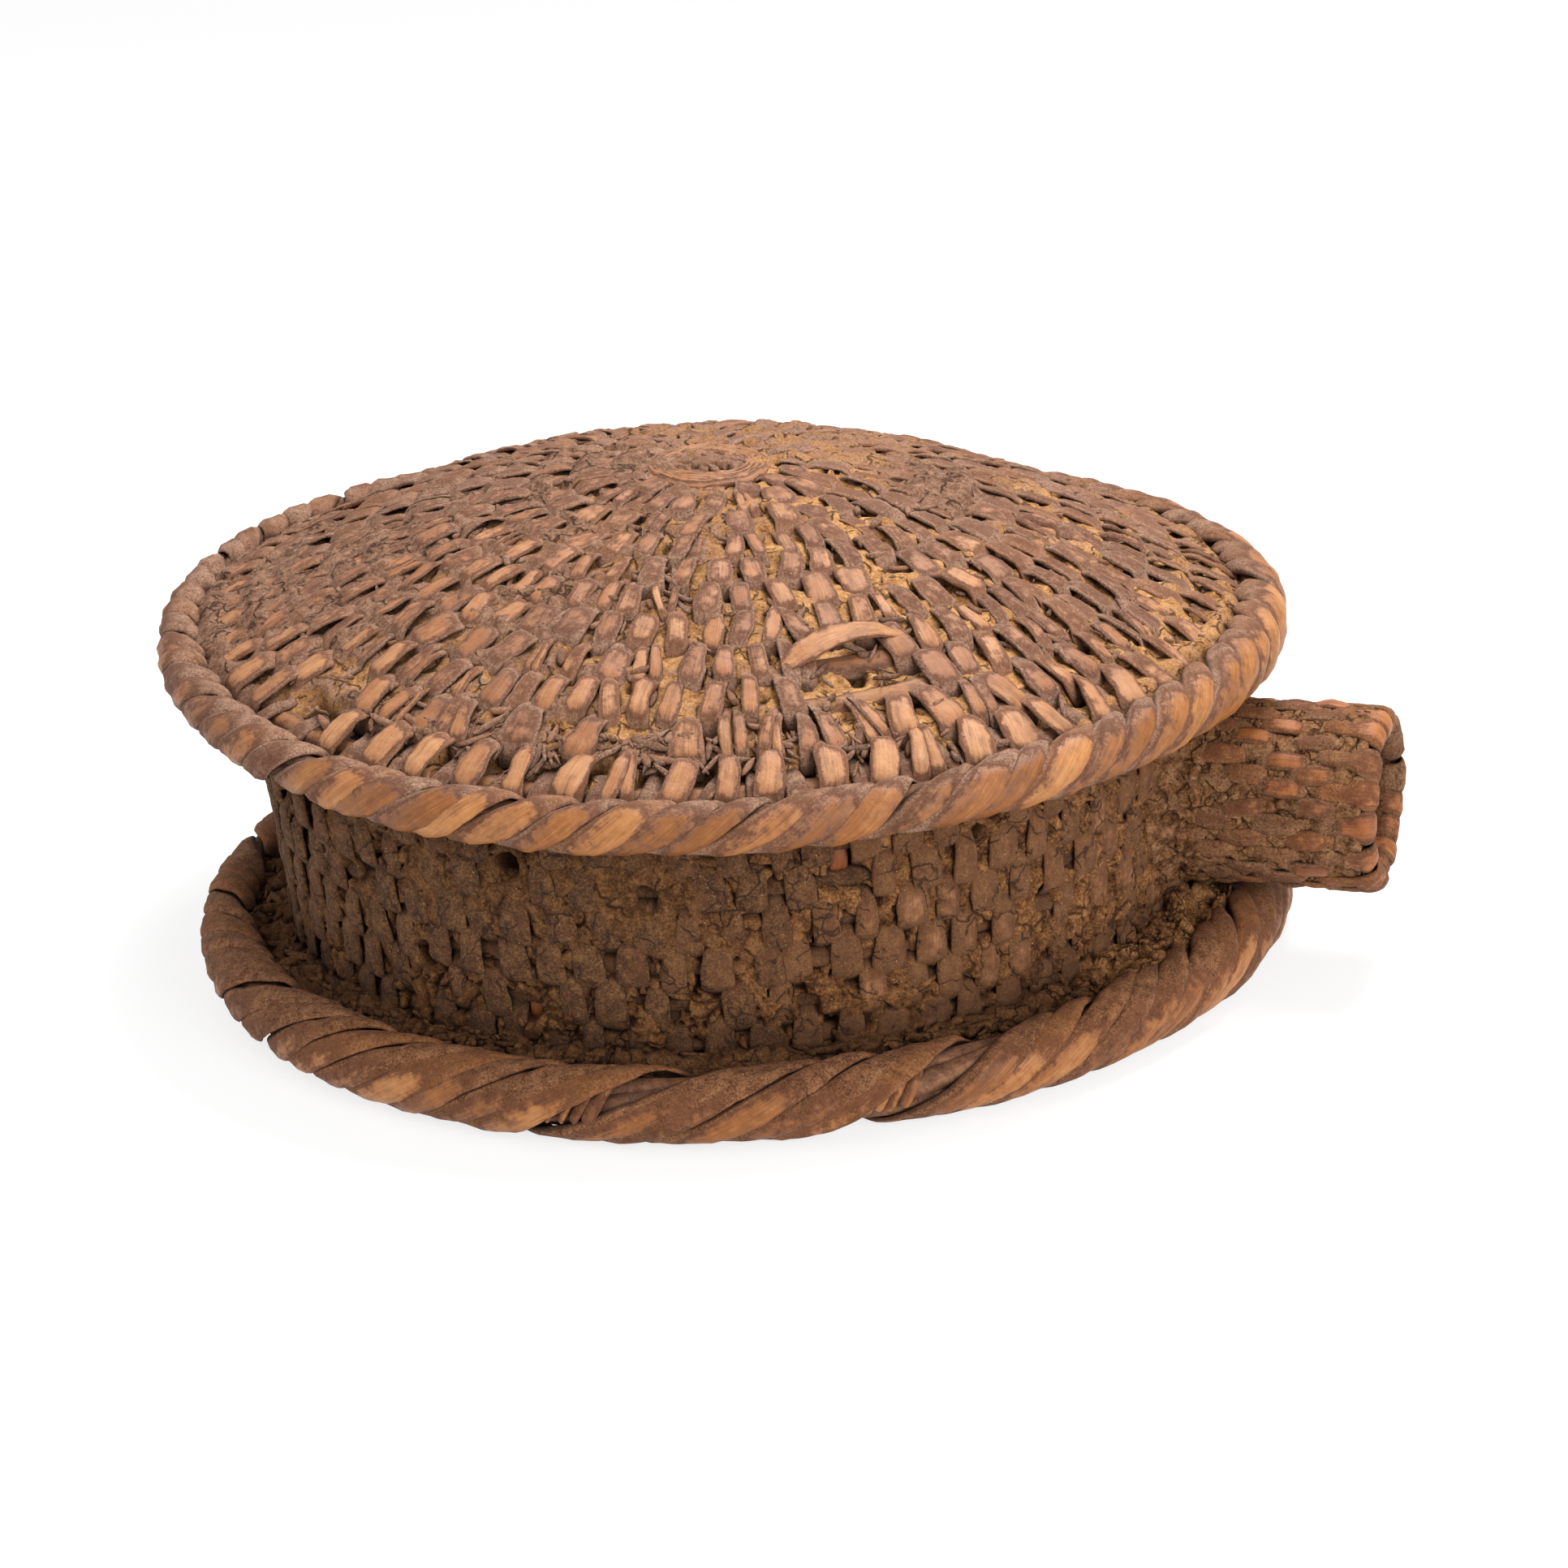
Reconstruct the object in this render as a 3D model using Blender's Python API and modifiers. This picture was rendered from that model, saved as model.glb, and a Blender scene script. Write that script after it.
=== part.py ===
"""A sealed wicker flask: a coiled and stitched drum lying on its back face, with a tubular neck.

Metres, +Z up. The origin is on the drum's axis, on the surface that the flask lies on, and the neck
points along +X. Each face and wall is a sandwich: splint stitches outside, foundation rods in the
middle, sealing compound inside. A point in a sandwich is given by its depth below the outer surface.
The pieces are turned round the drum's axis and then leaned, because the hand-made top isn't level.
"""

import math

import bmesh
import bpy
from mathutils import Matrix, Vector

# Top face and its border
TOP_RIM_RADIUS = 0.1600
TOP_RIM_HEIGHT = 0.0980
TOP_RIM_TUBE = 0.0085
TOP_CORE_TUBE = 0.0058
DOME_RISE = 0.0490
DOME_POWER = 2.10
TOP_ROWS = 11
TOP_SKIN_RADIUS = 0.1505

# Bottom face and its border
BASE_RIM_RADIUS = 0.1600
BASE_RIM_TUBE = 0.0112
BASE_CORE_TUBE = 0.0080
BASE_BULGE = 0.0040
BASE_BULGE_RADIUS = 0.1400
BASE_ROWS = 10
BASE_SKIN_RADIUS = 0.1470

# Both faces
START_COIL_RADIUS = 0.0183
FIRST_ROW_RADIUS = 0.0250
ROW_PITCH = 0.0122
SMALL_ROW_RADIUS = 0.0550

# Wall
WALL_RADIUS_TOP = 0.1460
WALL_RADIUS_BASE = 0.1440
WALL_TOP = 0.0948
WALL_SPLINT_TOP = 0.0985
WALL_SEALING_TOP = 0.0992
WALL_BASE = 0.0130
WALL_ROWS = 7
WALL_FIRST_ROW = 0.0195

# Neck
NECK_HEIGHT = 0.0525
NECK_RADIUS = 0.0265
NECK_BORE = 0.0185
NECK_START = 0.1310
NECK_END = 0.2040
LIP_LENGTH = 0.0080
LIP_SWELL = 0.0008
LIP_ROUNDING = 0.0020
NECK_ROD_RADIUS = 0.0025
NECK_ROWS = 5
NECK_FIRST_ROW = 0.1375
NECK_HOLE_START = 0.1100
COLLAR_RADIUS = 0.0315
COLLAR_START = 0.1400
COLLAR_END = 0.1560
COLLAR_EDGE = 0.0010

# Trough between the wall and the bottom border
PACKING_BASE = 0.0142
PACKING_TOP = 0.0205

# Layers of a sandwich
GAP = 0.0005
MUD = 0.0016
SKIN = 0.0015
ROD_RADIUS = 0.0035
SEALING = 0.0020
NECK_SEALING = 0.0008

# How the top leans on the level bottom: it tilts, sags front and back, drifts off the axis, grows oval
LEAN_FROM = 0.0300
LEAN_FULL = 0.0950
LEAN_TILT = 0.0369
LEAN_HIGH_SIDE = math.radians(146.7)
LEAN_SADDLE = 0.1250
LEAN_DRIFT = -0.0032
LEAN_OVAL = 0.0230

# Facets round a turn
RIM_STEPS = 48
ROW_STEPS = 24
SMALL_ROW_STEPS = 12
NECK_STEPS = 16
MERGE = 0.00001

ROD_DEPTH = SKIN + GAP + ROD_RADIUS
SEALING_DEPTH = ROD_DEPTH + ROD_RADIUS + GAP
FACE_DEPTH = SEALING_DEPTH + SEALING
WALL_DEPTH = MUD + GAP + FACE_DEPTH


def clear_scene():
    for old in list(bpy.data.objects):
        bpy.data.objects.remove(old)


def new_collection(name):
    group = bpy.data.collections.new(name)
    bpy.context.scene.collection.children.link(group)
    return group


def new_material(name, colour, roughness):
    material = bpy.data.materials.new(name)
    material.use_nodes = True
    shader = material.node_tree.nodes["Principled BSDF"]
    shader.inputs["Base Color"].default_value = (*colour, 1.0)
    shader.inputs["Roughness"].default_value = roughness
    shader.inputs["Metallic"].default_value = 0.0
    material.diffuse_color = (*colour, 1.0)
    return material


def place(piece, group, material):
    """Move a new object into its collection and give it its one material."""
    for old in list(piece.users_collection):
        old.objects.unlink(piece)
    group.objects.link(piece)
    piece.data.materials.clear()
    piece.data.materials.append(material)
    for face in piece.data.polygons:
        face.use_smooth = True
    piece.data.set_sharp_from_angle(angle=math.radians(40))


def turned(name, profile, steps, material, group, closed=True):
    """Turn a profile of (radius, height) points about Z; an open one starts and ends on the axis."""
    shape = bmesh.new()
    points = [shape.verts.new((radius, 0.0, height)) for radius, height in profile]
    for first, second in zip(points, points[1:]):
        shape.edges.new((first, second))
    if closed:
        shape.edges.new((points[-1], points[0]))
    mesh = bpy.data.meshes.new(name)
    shape.to_mesh(mesh)
    shape.free()
    piece = bpy.data.objects.new(name, mesh)
    place(piece, group, material)
    screw = piece.modifiers.new("Turn", "SCREW")
    screw.steps = steps
    screw.render_steps = steps
    screw.use_merge_vertices = True
    screw.merge_threshold = MERGE
    return piece


def hoop(name, radius, height, tube, steps, material, group):
    """One turn of a round rod about Z."""
    bpy.ops.mesh.primitive_torus_add(
        major_segments=steps,
        minor_segments=6,
        major_radius=radius,
        minor_radius=tube,
        location=(0.0, 0.0, height),
    )
    ring = bpy.context.active_object
    ring.name = name
    ring.data.name = name
    place(ring, group, material)
    return ring


def leaned(point):
    """Where a point of the true turned shape ends up on the leaning drum."""
    share = min(max((point.z - LEAN_FROM) / (LEAN_FULL - LEAN_FROM), 0.0), 1.0)
    uphill = point.x * math.cos(LEAN_HIGH_SIDE) + point.y * math.sin(LEAN_HIGH_SIDE)
    lift = LEAN_TILT * uphill + LEAN_SADDLE * (point.x**2 - point.y**2)
    drift = Vector((LEAN_DRIFT + LEAN_OVAL * point.x, -LEAN_OVAL * point.y, lift))
    return point + drift * share


def lean(piece):
    """Replace a turned piece's modifiers by its leaned mesh."""
    evaluated = piece.evaluated_get(bpy.context.evaluated_depsgraph_get())
    mesh = bpy.data.meshes.new_from_object(evaluated)
    mesh.transform(evaluated.matrix_world)
    for vertex in mesh.vertices:
        vertex.co = leaned(vertex.co)
    piece.modifiers.clear()
    piece.data = mesh
    piece.matrix_world = Matrix.Identity(4)
    return piece


def lay_along_neck(piece):
    """Turn a piece made about Z so that its Z runs along the neck, from the drum's axis outward."""
    distance = piece.location.z
    piece.rotation_euler = (0.0, math.pi / 2, 0.0)
    piece.location = (distance, 0.0, NECK_HEIGHT)


def cut(piece, cutter):
    notch = piece.modifiers.new("Cut " + cutter.name, "BOOLEAN")
    notch.operation = "DIFFERENCE"
    notch.solver = "EXACT"
    notch.object = cutter


def dome(radius, depth):
    """Height in the top face, at a depth measured square to its outer surface."""
    share = radius / TOP_RIM_RADIUS
    slope = DOME_RISE * DOME_POWER / TOP_RIM_RADIUS * share ** (DOME_POWER - 1.0)
    return TOP_RIM_HEIGHT + DOME_RISE * (1.0 - share**DOME_POWER) - depth * math.hypot(1.0, slope)


def base(radius, depth):
    """Height in the bottom face, which bulges down to the origin."""
    return BASE_BULGE * (radius / BASE_BULGE_RADIUS) ** 2 + depth


def wall(height, depth):
    """Radius in the wall, which leans out slightly towards its top."""
    share = (height - WALL_BASE) / (WALL_TOP - WALL_BASE)
    return WALL_RADIUS_BASE + (WALL_RADIUS_TOP - WALL_RADIUS_BASE) * share - depth


def spread(first, last, count):
    return [first + (last - first) * index / count for index in range(count + 1)]


def disc_layer(surface, inner, outer, depth_over, depth_under, spans):
    """Closed profile of a layer of a face, outer edge running down, between two depths."""
    radii = spread(inner, outer, spans)
    over = [(radius, surface(radius, depth_over)) for radius in radii]
    under = [(radius, surface(radius, depth_under)) for radius in reversed(radii)]
    return over + under


def wall_layer(depth_out, depth_in, bottom, top):
    """Closed profile of a layer of the wall, from its outer top corner downward."""
    heights = [top, LEAN_FULL, LEAN_FROM, bottom] if top > LEAN_FULL else [top, LEAN_FROM, bottom]
    outside = [(wall(height, depth_out), height) for height in heights]
    inside = [(wall(height, depth_in), height) for height in reversed(heights)]
    return outside + inside


def border_section(radius, height, tube, core):
    """Closed C profile of a border's wrapping, open towards the drum, flat at its lowest side."""
    outside = tube / math.cos(math.radians(15))
    inside = (core + GAP) / math.cos(math.radians(30))
    angles_out = [math.radians(angle) for angle in range(165, -166, -30)]
    angles_in = [math.radians(angle) for angle in range(-150, 151, 60)]
    ring = [(radius + outside * math.cos(a), height + outside * math.sin(a)) for a in angles_out]
    ring += [(radius + inside * math.cos(a), height + inside * math.sin(a)) for a in angles_in]
    return ring


def row_steps(radius):
    return SMALL_ROW_STEPS if radius < SMALL_ROW_RADIUS else ROW_STEPS


def build_top(group, willow, rod, compound):
    crown = START_COIL_RADIUS
    shoulder = crown - SKIN
    profile = [
        (0.0, dome(0.0, 0.0)),
        (shoulder, dome(shoulder, 0.0)),
        (crown, dome(crown, SKIN)),
        (crown, dome(crown, SEALING_DEPTH - GAP)),
        (0.0, dome(0.0, SEALING_DEPTH - GAP)),
    ]
    pieces = [turned("top_start_coil", profile, ROW_STEPS, rod, group, closed=False)]
    for row in range(TOP_ROWS):
        radius = FIRST_ROW_RADIUS + ROW_PITCH * row
        height = dome(radius, ROD_DEPTH)
        name = f"top_rod_{row + 1:02d}"
        pieces.append(hoop(name, radius, height, ROD_RADIUS, row_steps(radius), rod, group))
    skin = disc_layer(dome, crown + GAP, TOP_SKIN_RADIUS, 0.0, SKIN, 6)
    pieces.append(turned("top_splints", skin, ROW_STEPS, willow, group))
    overhang_inner = WALL_RADIUS_TOP + GAP
    hem = disc_layer(dome, overhang_inner, TOP_SKIN_RADIUS, SEALING_DEPTH, SEALING_DEPTH + SKIN, 1)
    pieces.append(turned("top_overhang_splints", hem, ROW_STEPS, willow, group))
    inside = wall(WALL_TOP, WALL_DEPTH + GAP)
    lining = disc_layer(dome, 0.0, inside, SEALING_DEPTH, FACE_DEPTH, 5)
    pieces.append(turned("top_sealing", lining, ROW_STEPS, compound, group, closed=False))
    rim = (TOP_RIM_RADIUS, TOP_RIM_HEIGHT)
    pieces.append(hoop("top_border_core", *rim, TOP_CORE_TUBE, RIM_STEPS, rod, group))
    section = border_section(*rim, TOP_RIM_TUBE, TOP_CORE_TUBE)
    pieces.append(turned("top_border_wrap", section, RIM_STEPS, willow, group))
    for piece in pieces:
        lean(piece)


def build_bottom(group, willow, rod, compound):
    centre = START_COIL_RADIUS
    topside = base(centre, SEALING_DEPTH - GAP)
    profile = [(0.0, topside), (centre, topside), (centre, 0.0), (0.0, 0.0)]
    turned("bottom_start_coil", profile, ROW_STEPS, rod, group, closed=False)
    for row in range(BASE_ROWS):
        radius = FIRST_ROW_RADIUS + ROW_PITCH * row
        name = f"bottom_rod_{row + 1:02d}"
        hoop(name, radius, base(radius, ROD_DEPTH), ROD_RADIUS, row_steps(radius), rod, group)
    skin = disc_layer(base, centre + GAP, BASE_SKIN_RADIUS, SKIN, 0.0, 3)
    turned("bottom_splints", skin, ROW_STEPS, willow, group)
    inside = wall(WALL_BASE, WALL_DEPTH + GAP)
    lining = disc_layer(base, 0.0, inside, FACE_DEPTH, SEALING_DEPTH, 3)
    turned("bottom_sealing", lining, ROW_STEPS, compound, group, closed=False)
    rim = (BASE_RIM_RADIUS, BASE_RIM_TUBE)
    hoop("bottom_border_core", *rim, BASE_CORE_TUBE, RIM_STEPS, rod, group)
    section = border_section(*rim, BASE_RIM_TUBE, BASE_CORE_TUBE)
    turned("bottom_border_wrap", section, RIM_STEPS, willow, group)


def build_trough_packing(group, dirt):
    """Crumbled mud in the trough between the wall and the bottom border."""
    clear = BASE_RIM_TUBE / math.cos(math.radians(15)) + GAP
    angles = [math.radians(angle) for angle in (135, 150, 165)]
    shore = [
        (BASE_RIM_RADIUS + clear * math.cos(a), BASE_RIM_TUBE + clear * math.sin(a)) for a in angles
    ]
    profile = [(wall(PACKING_TOP, -GAP), PACKING_TOP), *shore]
    profile.append((wall(PACKING_BASE, -GAP), PACKING_BASE))
    turned("trough_packing", profile, ROW_STEPS, dirt, group)


def build_wall(group, neck_hole, willow, rod, mud, compound):
    skin = MUD + GAP
    layers = [
        ("wall_mud_coat", 0.0, MUD, WALL_TOP, mud),
        ("wall_splints", skin, skin + SKIN, WALL_SPLINT_TOP, willow),
        ("wall_sealing", skin + SEALING_DEPTH, WALL_DEPTH, WALL_SEALING_TOP, compound),
    ]
    for name, depth_out, depth_in, top, material in layers:
        profile = wall_layer(depth_out, depth_in, WALL_BASE, top)
        cut(lean(turned(name, profile, ROW_STEPS, material, group)), neck_hole)
    for row in range(WALL_ROWS):
        height = WALL_FIRST_ROW + ROW_PITCH * row
        radius = wall(height, skin + ROD_DEPTH)
        name = f"wall_rod_{row + 1}"
        ring = lean(hoop(name, radius, height, ROD_RADIUS, ROW_STEPS, rod, group))
        if abs(height - NECK_HEIGHT) < NECK_RADIUS + ROD_RADIUS + GAP:
            cut(ring, neck_hole)


def build_neck(group, drum, willow, rod, mud, compound):
    lip_start = NECK_END - LIP_LENGTH
    body_end = lip_start - GAP
    rod_row = NECK_RADIUS - SKIN - GAP - NECK_ROD_RADIUS
    layers = [
        ("neck_splints", NECK_RADIUS, NECK_RADIUS - SKIN, willow),
        ("neck_sealing", NECK_BORE + NECK_SEALING, NECK_BORE, compound),
    ]
    for name, outer, inner, material in layers:
        profile = [
            (outer, body_end),
            (outer, NECK_START),
            (inner, NECK_START),
            (inner, body_end),
        ]
        lay_along_neck(turned(name, profile, NECK_STEPS, material, group))
    for row in range(NECK_ROWS):
        distance = NECK_FIRST_ROW + ROW_PITCH * row
        name = f"neck_rod_{row + 1}"
        lay_along_neck(hoop(name, rod_row, distance, NECK_ROD_RADIUS, NECK_STEPS, rod, group))
    lip = NECK_RADIUS + LIP_SWELL
    profile = [
        (lip - LIP_ROUNDING, NECK_END),
        (lip, NECK_END - LIP_ROUNDING),
        (lip, lip_start),
        (NECK_BORE, lip_start),
        (NECK_BORE, NECK_END - LIP_ROUNDING),
        (NECK_BORE + LIP_ROUNDING, NECK_END),
    ]
    lay_along_neck(turned("neck_lip_binding", profile, NECK_STEPS, willow, group))
    inside = NECK_RADIUS + GAP
    profile = [
        (inside + COLLAR_EDGE, COLLAR_END),
        (COLLAR_RADIUS, COLLAR_START),
        (inside, COLLAR_START),
        (inside, COLLAR_END),
    ]
    collar = turned("neck_mud_collar", profile, NECK_STEPS, mud, group)
    lay_along_neck(collar)
    cut(collar, drum)


def build_cutters(group, guide):
    hole = NECK_RADIUS + GAP
    profile = [
        (0.0, COLLAR_END),
        (hole, COLLAR_END),
        (hole, NECK_HOLE_START),
        (0.0, NECK_HOLE_START),
    ]
    neck_hole = turned("neck_hole_cutter", profile, NECK_STEPS, guide, group, closed=False)
    lay_along_neck(neck_hole)
    outside = [(wall(height, -GAP), height) for height in (WALL_TOP, LEAN_FROM, WALL_BASE)]
    profile = [(0.0, WALL_TOP), *outside, (0.0, WALL_BASE)]
    drum = lean(turned("drum_cutter", profile, ROW_STEPS, guide, group, closed=False))
    for cutter in (neck_hole, drum):
        cutter.hide_render = True
        cutter.display_type = "WIRE"
    return neck_hole, drum


def main():
    clear_scene()
    parts = new_collection("wicker_flask")
    cutters = new_collection("cutters")
    willow = new_material("willow_splint", (0.352, 0.190, 0.107), 0.62)
    rod = new_material("willow_rod", (0.300, 0.150, 0.075), 0.65)
    mud = new_material("dried_mud", (0.122, 0.058, 0.028), 0.95)
    dirt = new_material("crumbled_mud", (0.060, 0.028, 0.012), 1.00)
    compound = new_material("sealing_compound", (0.330, 0.190, 0.085), 0.95)
    neck_hole, drum = build_cutters(cutters, compound)
    build_top(parts, willow, rod, compound)
    build_bottom(parts, willow, rod, compound)
    build_trough_packing(parts, dirt)
    build_wall(parts, neck_hole, willow, rod, mud, compound)
    build_neck(parts, drum, willow, rod, mud, compound)


main()
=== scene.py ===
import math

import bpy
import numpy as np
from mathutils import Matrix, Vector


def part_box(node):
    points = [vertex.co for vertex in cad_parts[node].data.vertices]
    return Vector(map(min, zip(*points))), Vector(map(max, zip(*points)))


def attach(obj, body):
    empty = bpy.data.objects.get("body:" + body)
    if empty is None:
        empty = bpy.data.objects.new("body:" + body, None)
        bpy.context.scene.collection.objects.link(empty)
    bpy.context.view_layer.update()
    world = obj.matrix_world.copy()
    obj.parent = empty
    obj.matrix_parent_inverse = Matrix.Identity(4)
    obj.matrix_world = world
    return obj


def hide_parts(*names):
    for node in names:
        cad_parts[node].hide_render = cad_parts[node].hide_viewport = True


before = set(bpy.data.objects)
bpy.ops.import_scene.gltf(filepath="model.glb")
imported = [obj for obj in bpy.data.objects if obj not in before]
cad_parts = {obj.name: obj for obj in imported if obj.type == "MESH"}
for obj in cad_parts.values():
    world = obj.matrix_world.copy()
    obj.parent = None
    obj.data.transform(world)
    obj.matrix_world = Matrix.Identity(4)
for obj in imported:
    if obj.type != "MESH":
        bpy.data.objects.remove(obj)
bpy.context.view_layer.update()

# The looks of a sealed wicker flask that lies on its back face.
#
# Every woven sheet (top face, bottom face, wall, neck) is laid out in sheet coordinates: a distance
# along the stitches, an angle round the axis, and a height square to the surface through the centres
# of the sheet's foundation rods. Stitches, rods, sealing compound and mud are placed by their height
# in the sheet. The sheets themselves are measured from the CAD rods, so they follow the CAD model.

MM = 0.001

# Directions round the drum's axis, in degrees
FRONT = -70.0
NECK_SIDE = -20.0
BARE_RODS = -51.0
STITCH_GAP = -121.0
TORN_ROW = -84.0
CAKED = -130.0
PLASTERED = 13.0
# Places on the trough's packing: a tan pile, a round hole, and a hollow at the border
PILE, ROUND_HOLE, HOLLOW = -8.0, -21.0, 7.0
# The wall's radius, in metres, where its stitches and holes are laid out
WALL_ROUND = 0.145
# Two splints of the wall lie bare in holes: height in millimetres, and direction
BARE_SPLINTS = [(27.0, -95.0), (75.0, -58.5)]
# Holes in the wall's coat: height in millimetres, and direction
WALL_HOLES = [(28.0, -95.5), (76.0, -58.0), (39.0, -109.0), (24.0, -113.0), (74.0, -96.0), (67.0, -80.0),
              (84.0, -73.0), (58.0, -121.0), (82.0, -40.0), (47.0, -33.0), (30.0, -63.0), (70.0, -134.0)]
# The bottom border's wrapping has two gaps, where broken ends of strips show
BORDER_GAPS = (-83.0, -54.0)
GAP_ENDS = [-88.6, -87.3, -86.2, -84.9, -60.2, -58.9, -57.5, -56.4, -55.0]

# Stitches
SPLINT = 1.3 * MM
CREST = 4.7 * MM
STITCH_PITCH = 10.0 * MM
LAST_ROW = 66
COIL = 18.8 * MM


# ---------------------------------------------------------------- measuring the CAD model


def points_of(node):
    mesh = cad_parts[node].data
    values = np.empty(len(mesh.vertices) * 3)
    mesh.vertices.foreach_get("co", values)
    return values.reshape(-1, 3)


def measured_lean():
    """How the top leans on the level bottom: drift, ovalness, tilts, saddle, and where it starts and ends."""
    spots = points_of("top_border_core")
    low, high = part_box("top_border_core")
    drift = (low[0] + high[0]) / 2
    x, y, z = spots[:, 0] - drift, spots[:, 1], spots[:, 2]
    radius = np.hypot(x, y).mean()
    oval = ((high[0] - low[0]) - (high[1] - low[1])) / (4 * radius)
    terms = np.stack([np.ones_like(x), x, y, x**2 - y**2], axis=1)
    height, tilt_x, tilt_y, saddle = np.linalg.lstsq(terms, z, rcond=None)[0]
    start = points_of("wall_rod_2")[:, 2].mean()
    return drift, oval, tilt_x, tilt_y, saddle, start, height


DRIFT, OVAL, TILT_X, TILT_Y, SADDLE, LEAN_START, LEAN_END = measured_lean()


def leaned(x, y, z):
    share = np.clip((z - LEAN_START) / (LEAN_END - LEAN_START), 0, 1)
    lift = TILT_X * x + TILT_Y * y + SADDLE * (x**2 - y**2)
    moved = x + share * (DRIFT + OVAL * x), y - share * OVAL * y, z + share * lift
    return np.stack(np.broadcast_arrays(*moved), axis=-1)


def hoop_of(node, leaning=False):
    """Radius, height and rod radius of one turn, as it is before the drum leans."""
    x, y, z = points_of(node).T
    if leaning:
        x, y = (x - DRIFT) / (1 + OVAL), y / (1 - OVAL)
        z = z - TILT_X * x - TILT_Y * y - SADDLE * (x**2 - y**2)
    radius = np.hypot(x, y)
    return radius.mean(), z.mean(), (radius.max() - radius.min()) / 2


def rods_of(names, leaning=False):
    return np.array([hoop_of(name, leaning) for name in names])


TOP_ROD_NODES = [f"top_rod_{row:02d}" for row in range(1, 12)]
BASE_ROD_NODES = [f"bottom_rod_{row:02d}" for row in range(1, 11)]
WALL_ROD_NODES = [f"wall_rod_{row}" for row in range(1, 8)]
NECK_ROD_NODES = [f"neck_rod_{row}" for row in range(1, 6)]

TOP_RODS = rods_of(TOP_ROD_NODES, leaning=True)
BASE_RODS = rods_of(BASE_ROD_NODES)
ROD = TOP_RODS[:, 2].mean()
ROW = np.diff(TOP_RODS[:, 0]).mean()
TOP_CURVE = np.polyfit(TOP_RODS[:, 0] ** 2, TOP_RODS[:, 1], 3)
BASE_CURVE = np.polyfit(BASE_RODS[:, 0] ** 2, BASE_RODS[:, 1], 1)

WALL_LOW = hoop_of(WALL_ROD_NODES[0])
WALL_HIGH = hoop_of(WALL_ROD_NODES[-1], leaning=True)
WALL_CURVE = np.polyfit([WALL_LOW[1], WALL_HIGH[1]], [WALL_LOW[0], WALL_HIGH[0]], 1)
WALL_ROWS = np.linspace(WALL_LOW[1], WALL_HIGH[1], len(WALL_ROD_NODES))

TOP_BORDER = hoop_of("top_border_core", leaning=True)
BASE_BORDER = hoop_of("bottom_border_core")
TOP_BORDER_TUBE = (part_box("top_border_wrap")[1][1] - TOP_BORDER[0] * (1 - OVAL)) * math.cos(math.radians(15))
BASE_BORDER_TUBE = BASE_BORDER[1]

NECK_LOW, NECK_HIGH = (np.array(corner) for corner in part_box("neck_lip_binding"))
NECK_AXIS = (NECK_LOW[2] + NECK_HIGH[2]) / 2
NECK_END = NECK_HIGH[0]
NECK_SKIN = (NECK_HIGH[2] - NECK_LOW[2]) / 2
NECK_ROWS = np.array([(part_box(name)[0][0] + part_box(name)[1][0]) / 2 for name in NECK_ROD_NODES])
NECK_ROD = (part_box("neck_rod_5")[1][0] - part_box("neck_rod_5")[0][0]) / 2
NECK_BED = NECK_SKIN - 2.0 * MM - NECK_ROD
NECK_BORE = 18.5 * MM
NECK_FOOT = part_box("neck_splints")[0][0]


# ---------------------------------------------------------------- sheets


def disc_at(curve, outward, radius, angle, height):
    """A point of a face before the drum leans: outward is 1 for the top face, -1 for the bottom face."""
    slope = 2 * radius * np.polyval(np.polyder(curve), radius**2)
    length = np.hypot(1, slope)
    out = radius - outward * height * slope / length
    up = np.polyval(curve, radius**2) + outward * height / length
    return out * np.cos(angle), out * np.sin(angle), up


def top_at(radius, angle, height):
    return leaned(*disc_at(TOP_CURVE, 1.0, radius, angle, height))


def base_at(radius, angle, height):
    spots = np.stack(np.broadcast_arrays(*disc_at(BASE_CURVE, -1.0, radius, angle, height)), axis=-1)
    spots[..., 2] = np.maximum(spots[..., 2], 0.3 * MM)
    return spots


def wall_at(level, angle, height):
    out = np.polyval(WALL_CURVE, level) + height
    return leaned(out * np.cos(angle), out * np.sin(angle), level)


def neck_at(distance, angle, height):
    out = NECK_BED + height
    spots = distance + 0 * angle, out * np.sin(angle), NECK_AXIS + out * np.cos(angle)
    return np.stack(np.broadcast_arrays(*spots), axis=-1)


def border_at(ring, turn, around, out, leaning):
    """A point of a border: turn is the angle round the drum, around the angle round the border's own core."""
    radius = ring[0] + out * np.cos(around)
    level = ring[1] + out * np.sin(around)
    if leaning:
        return leaned(radius * np.cos(turn), radius * np.sin(turn), level)
    return np.stack([radius * np.cos(turn), radius * np.sin(turn), np.maximum(level, 0.2 * MM)], axis=-1)


def steps_round(count):
    """The angles of equal steps round a whole circle."""
    return np.arange(count) * 2 * np.pi / count


def spread_round(count, unevenness, rng, shift=0.0):
    """The angles of uneven steps round a circle; unevenness and shift are shares of a step."""
    return (np.arange(count) + shift + rng.normal(0, unevenness, count)) * 2 * np.pi / count


def flat_at(radius, angle):
    """Places on the level plane, for noise that goes with them."""
    return np.stack([radius * np.cos(angle), radius * np.sin(angle), 0 * radius + 0 * angle], axis=-1)


# ---------------------------------------------------------------- noise


def smooth(start, end, value):
    share = np.clip((value - start) / (end - start), 0, 1)
    return share * share * (3 - 2 * share)


def hashed(cell, seed):
    """A repeatable number from 0 to 1 for each cell of whole numbers."""
    mix = cell[..., 0] * 374761393 + cell[..., 1] * 668265263 + cell[..., 2] * 1442695041 + seed * 974634777
    mix = (mix ^ (mix >> 13)) * 1274126177
    return ((mix ^ (mix >> 16)) & 0xFFFFFF) / 0xFFFFFF


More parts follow.
